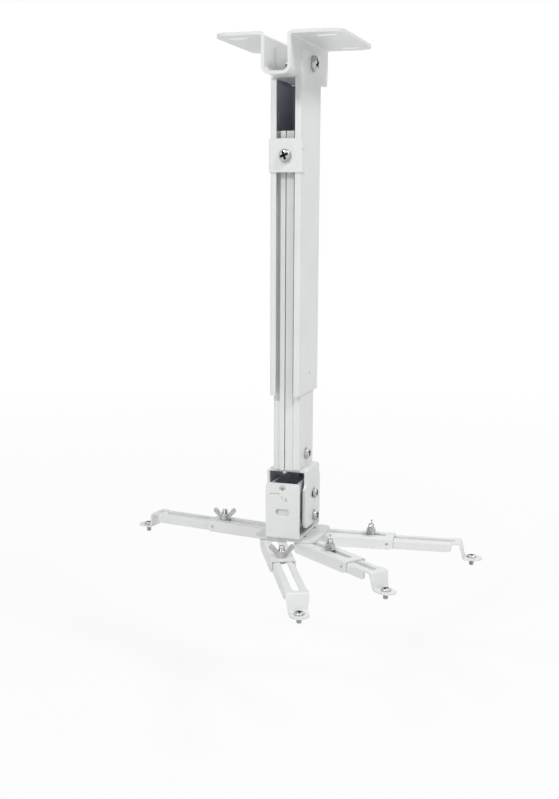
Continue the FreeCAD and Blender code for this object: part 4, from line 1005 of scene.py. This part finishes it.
class MOUNT_OT_angle_scale(bpy.types.Operator):
    """Set the angle marks, and a painted shadow arc over the front rivet's dome, on the front plate
    of the head
    """

    bl_idname = "mount.angle_scale"
    bl_label = "Mark Angle Scale"

    def execute(self, context):
        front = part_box("roll_bracket")[0].y
        low, high = solid_boxes("roll_rivets", "y")[(False,)]
        pivot = (low + high) / 2
        turns = [math.radians(angle) for angle in DOME_SHADOW_ANGLES]
        dome_shadow = [(DOME_SHADOW_RADIUS * math.cos(turn), DOME_SHADOW_RADIUS * math.sin(turn)) for turn in turns]
        built = bmesh.new()
        # The arc over the rivet is a painted shadow of its dome, in the marks' grey.
        for stroke in STROKES + tuple(zip(dome_shadow, dome_shadow[1:])):
            start, end = [pivot + Vector((x, 0, z)) * MM for x, z in stroke]
            add_mark(built, start, end, front, settings("mount_scale"))
        item = add_piece("angle_scale", built)
        dress(item, ink_and_dome_shadow())
        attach(item, "roll_head")
        return {"FINISHED"}


# Studio.


def build_floor(studio):
    """A wide pale floor. Where it is seen it fades to white away from the object."""
    built = bmesh.new()
    corners = ((-1, -1), (1, -1), (1, 1), (-1, 1))
    built.faces.new([built.verts.new((x * FLOOR_HALF, y * FLOOR_HALF, studio.floor))
                     for x, y in corners])
    floor = add_piece("studio_floor", built)
    shader = Shader("studio_paper")
    mottle = shader.spread(shader.noise(0.4, 2.0), 0.0, 1.0)
    shader.give("Base Color", shader.blend(mottle, studio.pale, tinted(studio.pale, 1.01)))
    shader.give("Roughness", 0.9)
    away = shader.add("ShaderNodeVectorMath", operation="LENGTH")
    shader.link(shader.place, away.inputs[0])
    fade = shader.spread(away.outputs["Value"], *FLOOR_FADE)
    glow = shader.add("ShaderNodeEmission")
    glow.inputs["Color"].default_value = WHITE
    seen = shader.maths("MULTIPLY", shader.seen_rays(), fade)
    mixed = shader.mix(seen, shader.surface.outputs["BSDF"], glow.outputs["Emission"])
    shader.link(mixed, shader.nodes["Material Output"].inputs["Surface"])
    dress(floor, shader.material)


def add_lamp(name, place, width, height, watts):
    """A rectangular soft lamp that faces the object."""
    data = bpy.data.lights.new(name, "AREA")
    data.shape = "RECTANGLE"
    data.size = width
    data.size_y = height
    data.energy = watts
    lamp = bpy.data.objects.new(name, data)
    lamp.location = place
    lamp.rotation_euler = (Vector(LAMP_AIM) - Vector(place)).to_track_quat("-Z", "Y").to_euler()
    bpy.context.scene.collection.objects.link(lamp)


def build_surround(studio):
    """Pale light from all round, and plain white where the background itself is seen."""
    world = bpy.data.worlds.new("studio_surround")
    world.use_nodes = True
    bpy.context.scene.world = world
    tree = Tree(world.node_tree)
    tree.nodes.clear()
    sources = []
    for shade, strength in ((studio.ambient, studio.ambient_strength), (WHITE, 1.0)):
        source = tree.add("ShaderNodeBackground")
        source.inputs["Color"].default_value = shade
        source.inputs["Strength"].default_value = strength
        sources.append(source.outputs["Background"])
    output = tree.add("ShaderNodeOutputWorld")
    tree.link(tree.mix(tree.seen_rays(), *sources), output.inputs["Surface"])


def place_camera(studio):
    """The photograph's view: from the right, tilted down and rolled a little."""
    turn, dip, roll = studio.turn, studio.dip, studio.roll
    level = Vector((-math.sin(turn), math.cos(turn), 0))
    right = Vector((math.cos(turn), math.sin(turn), 0))
    ahead = level * math.cos(dip) - Vector(UP) * math.sin(dip)
    above = level * math.sin(dip) + Vector(UP) * math.cos(dip)
    side = right * math.cos(roll) + above * math.sin(roll)
    top = above * math.cos(roll) - right * math.sin(roll)
    data = bpy.data.cameras.new("studio_camera")
    data.lens = studio.lens
    data.sensor_width = 36.0
    data.shift_y = studio.rise
    data.clip_start = 0.05
    data.clip_end = 50.0
    data.dof.use_dof = False
    camera = bpy.data.objects.new("studio_camera", data)
    camera.matrix_world = Matrix.Translation(studio.camera_place) @ Matrix(
        (side, top, -ahead)).transposed().to_4x4()
    bpy.context.scene.collection.objects.link(camera)
    bpy.context.scene.camera = camera


class MOUNT_OT_studio(bpy.types.Operator):
    """Set the floor, the soft light and the camera"""

    bl_idname = "mount.studio"
    bl_label = "Build Studio"

    def execute(self, context):
        studio = settings("mount_studio")
        build_floor(studio)
        for lamp in LAMPS:
            add_lamp(*lamp)
        build_surround(studio)
        place_camera(studio)
        context.scene.view_settings.view_transform = "Standard"
        return {"FINISHED"}


OPERATORS = (
    MOUNT_OT_sheet_metal, MOUNT_OT_plastics, MOUNT_OT_column_fasteners, MOUNT_OT_head_fasteners,
    MOUNT_OT_arm_pivots, MOUNT_OT_foot_screws, MOUNT_OT_wing_nuts, MOUNT_OT_angle_scale,
    MOUNT_OT_studio,
)


class MOUNT_PT_panel(bpy.types.Panel):
    """Lists the steps that dress the mount, with their sizes and colours"""

    bl_idname = "MOUNT_PT_panel"
    bl_label = "Ceiling Mount"
    bl_space_type = "VIEW_3D"
    bl_region_type = "UI"
    bl_category = "Ceiling Mount"

    def draw(self, context):
        for operator in OPERATORS:
            self.layout.operator(operator.bl_idname)
        for name in SETTINGS:
            group = settings(name)
            box = self.layout.box()
            for entry in group.__annotations__:
                box.prop(group, entry)


def register():
    for group in SETTINGS.values():
        bpy.utils.register_class(group)
    for name, group in SETTINGS.items():
        setattr(bpy.types.Scene, name, bpy.props.PointerProperty(type=group))
    for operator in OPERATORS:
        bpy.utils.register_class(operator)
    bpy.utils.register_class(MOUNT_PT_panel)


def unregister():
    bpy.utils.unregister_class(MOUNT_PT_panel)
    for operator in reversed(OPERATORS):
        bpy.utils.unregister_class(operator)
    for name, group in SETTINGS.items():
        delattr(bpy.types.Scene, name)
        bpy.utils.unregister_class(group)


def main():
    register()
    for operator in OPERATORS:
        family, step = operator.bl_idname.split(".")
        getattr(getattr(bpy.ops, family), step)()


if __name__ == "__main__":
    main()
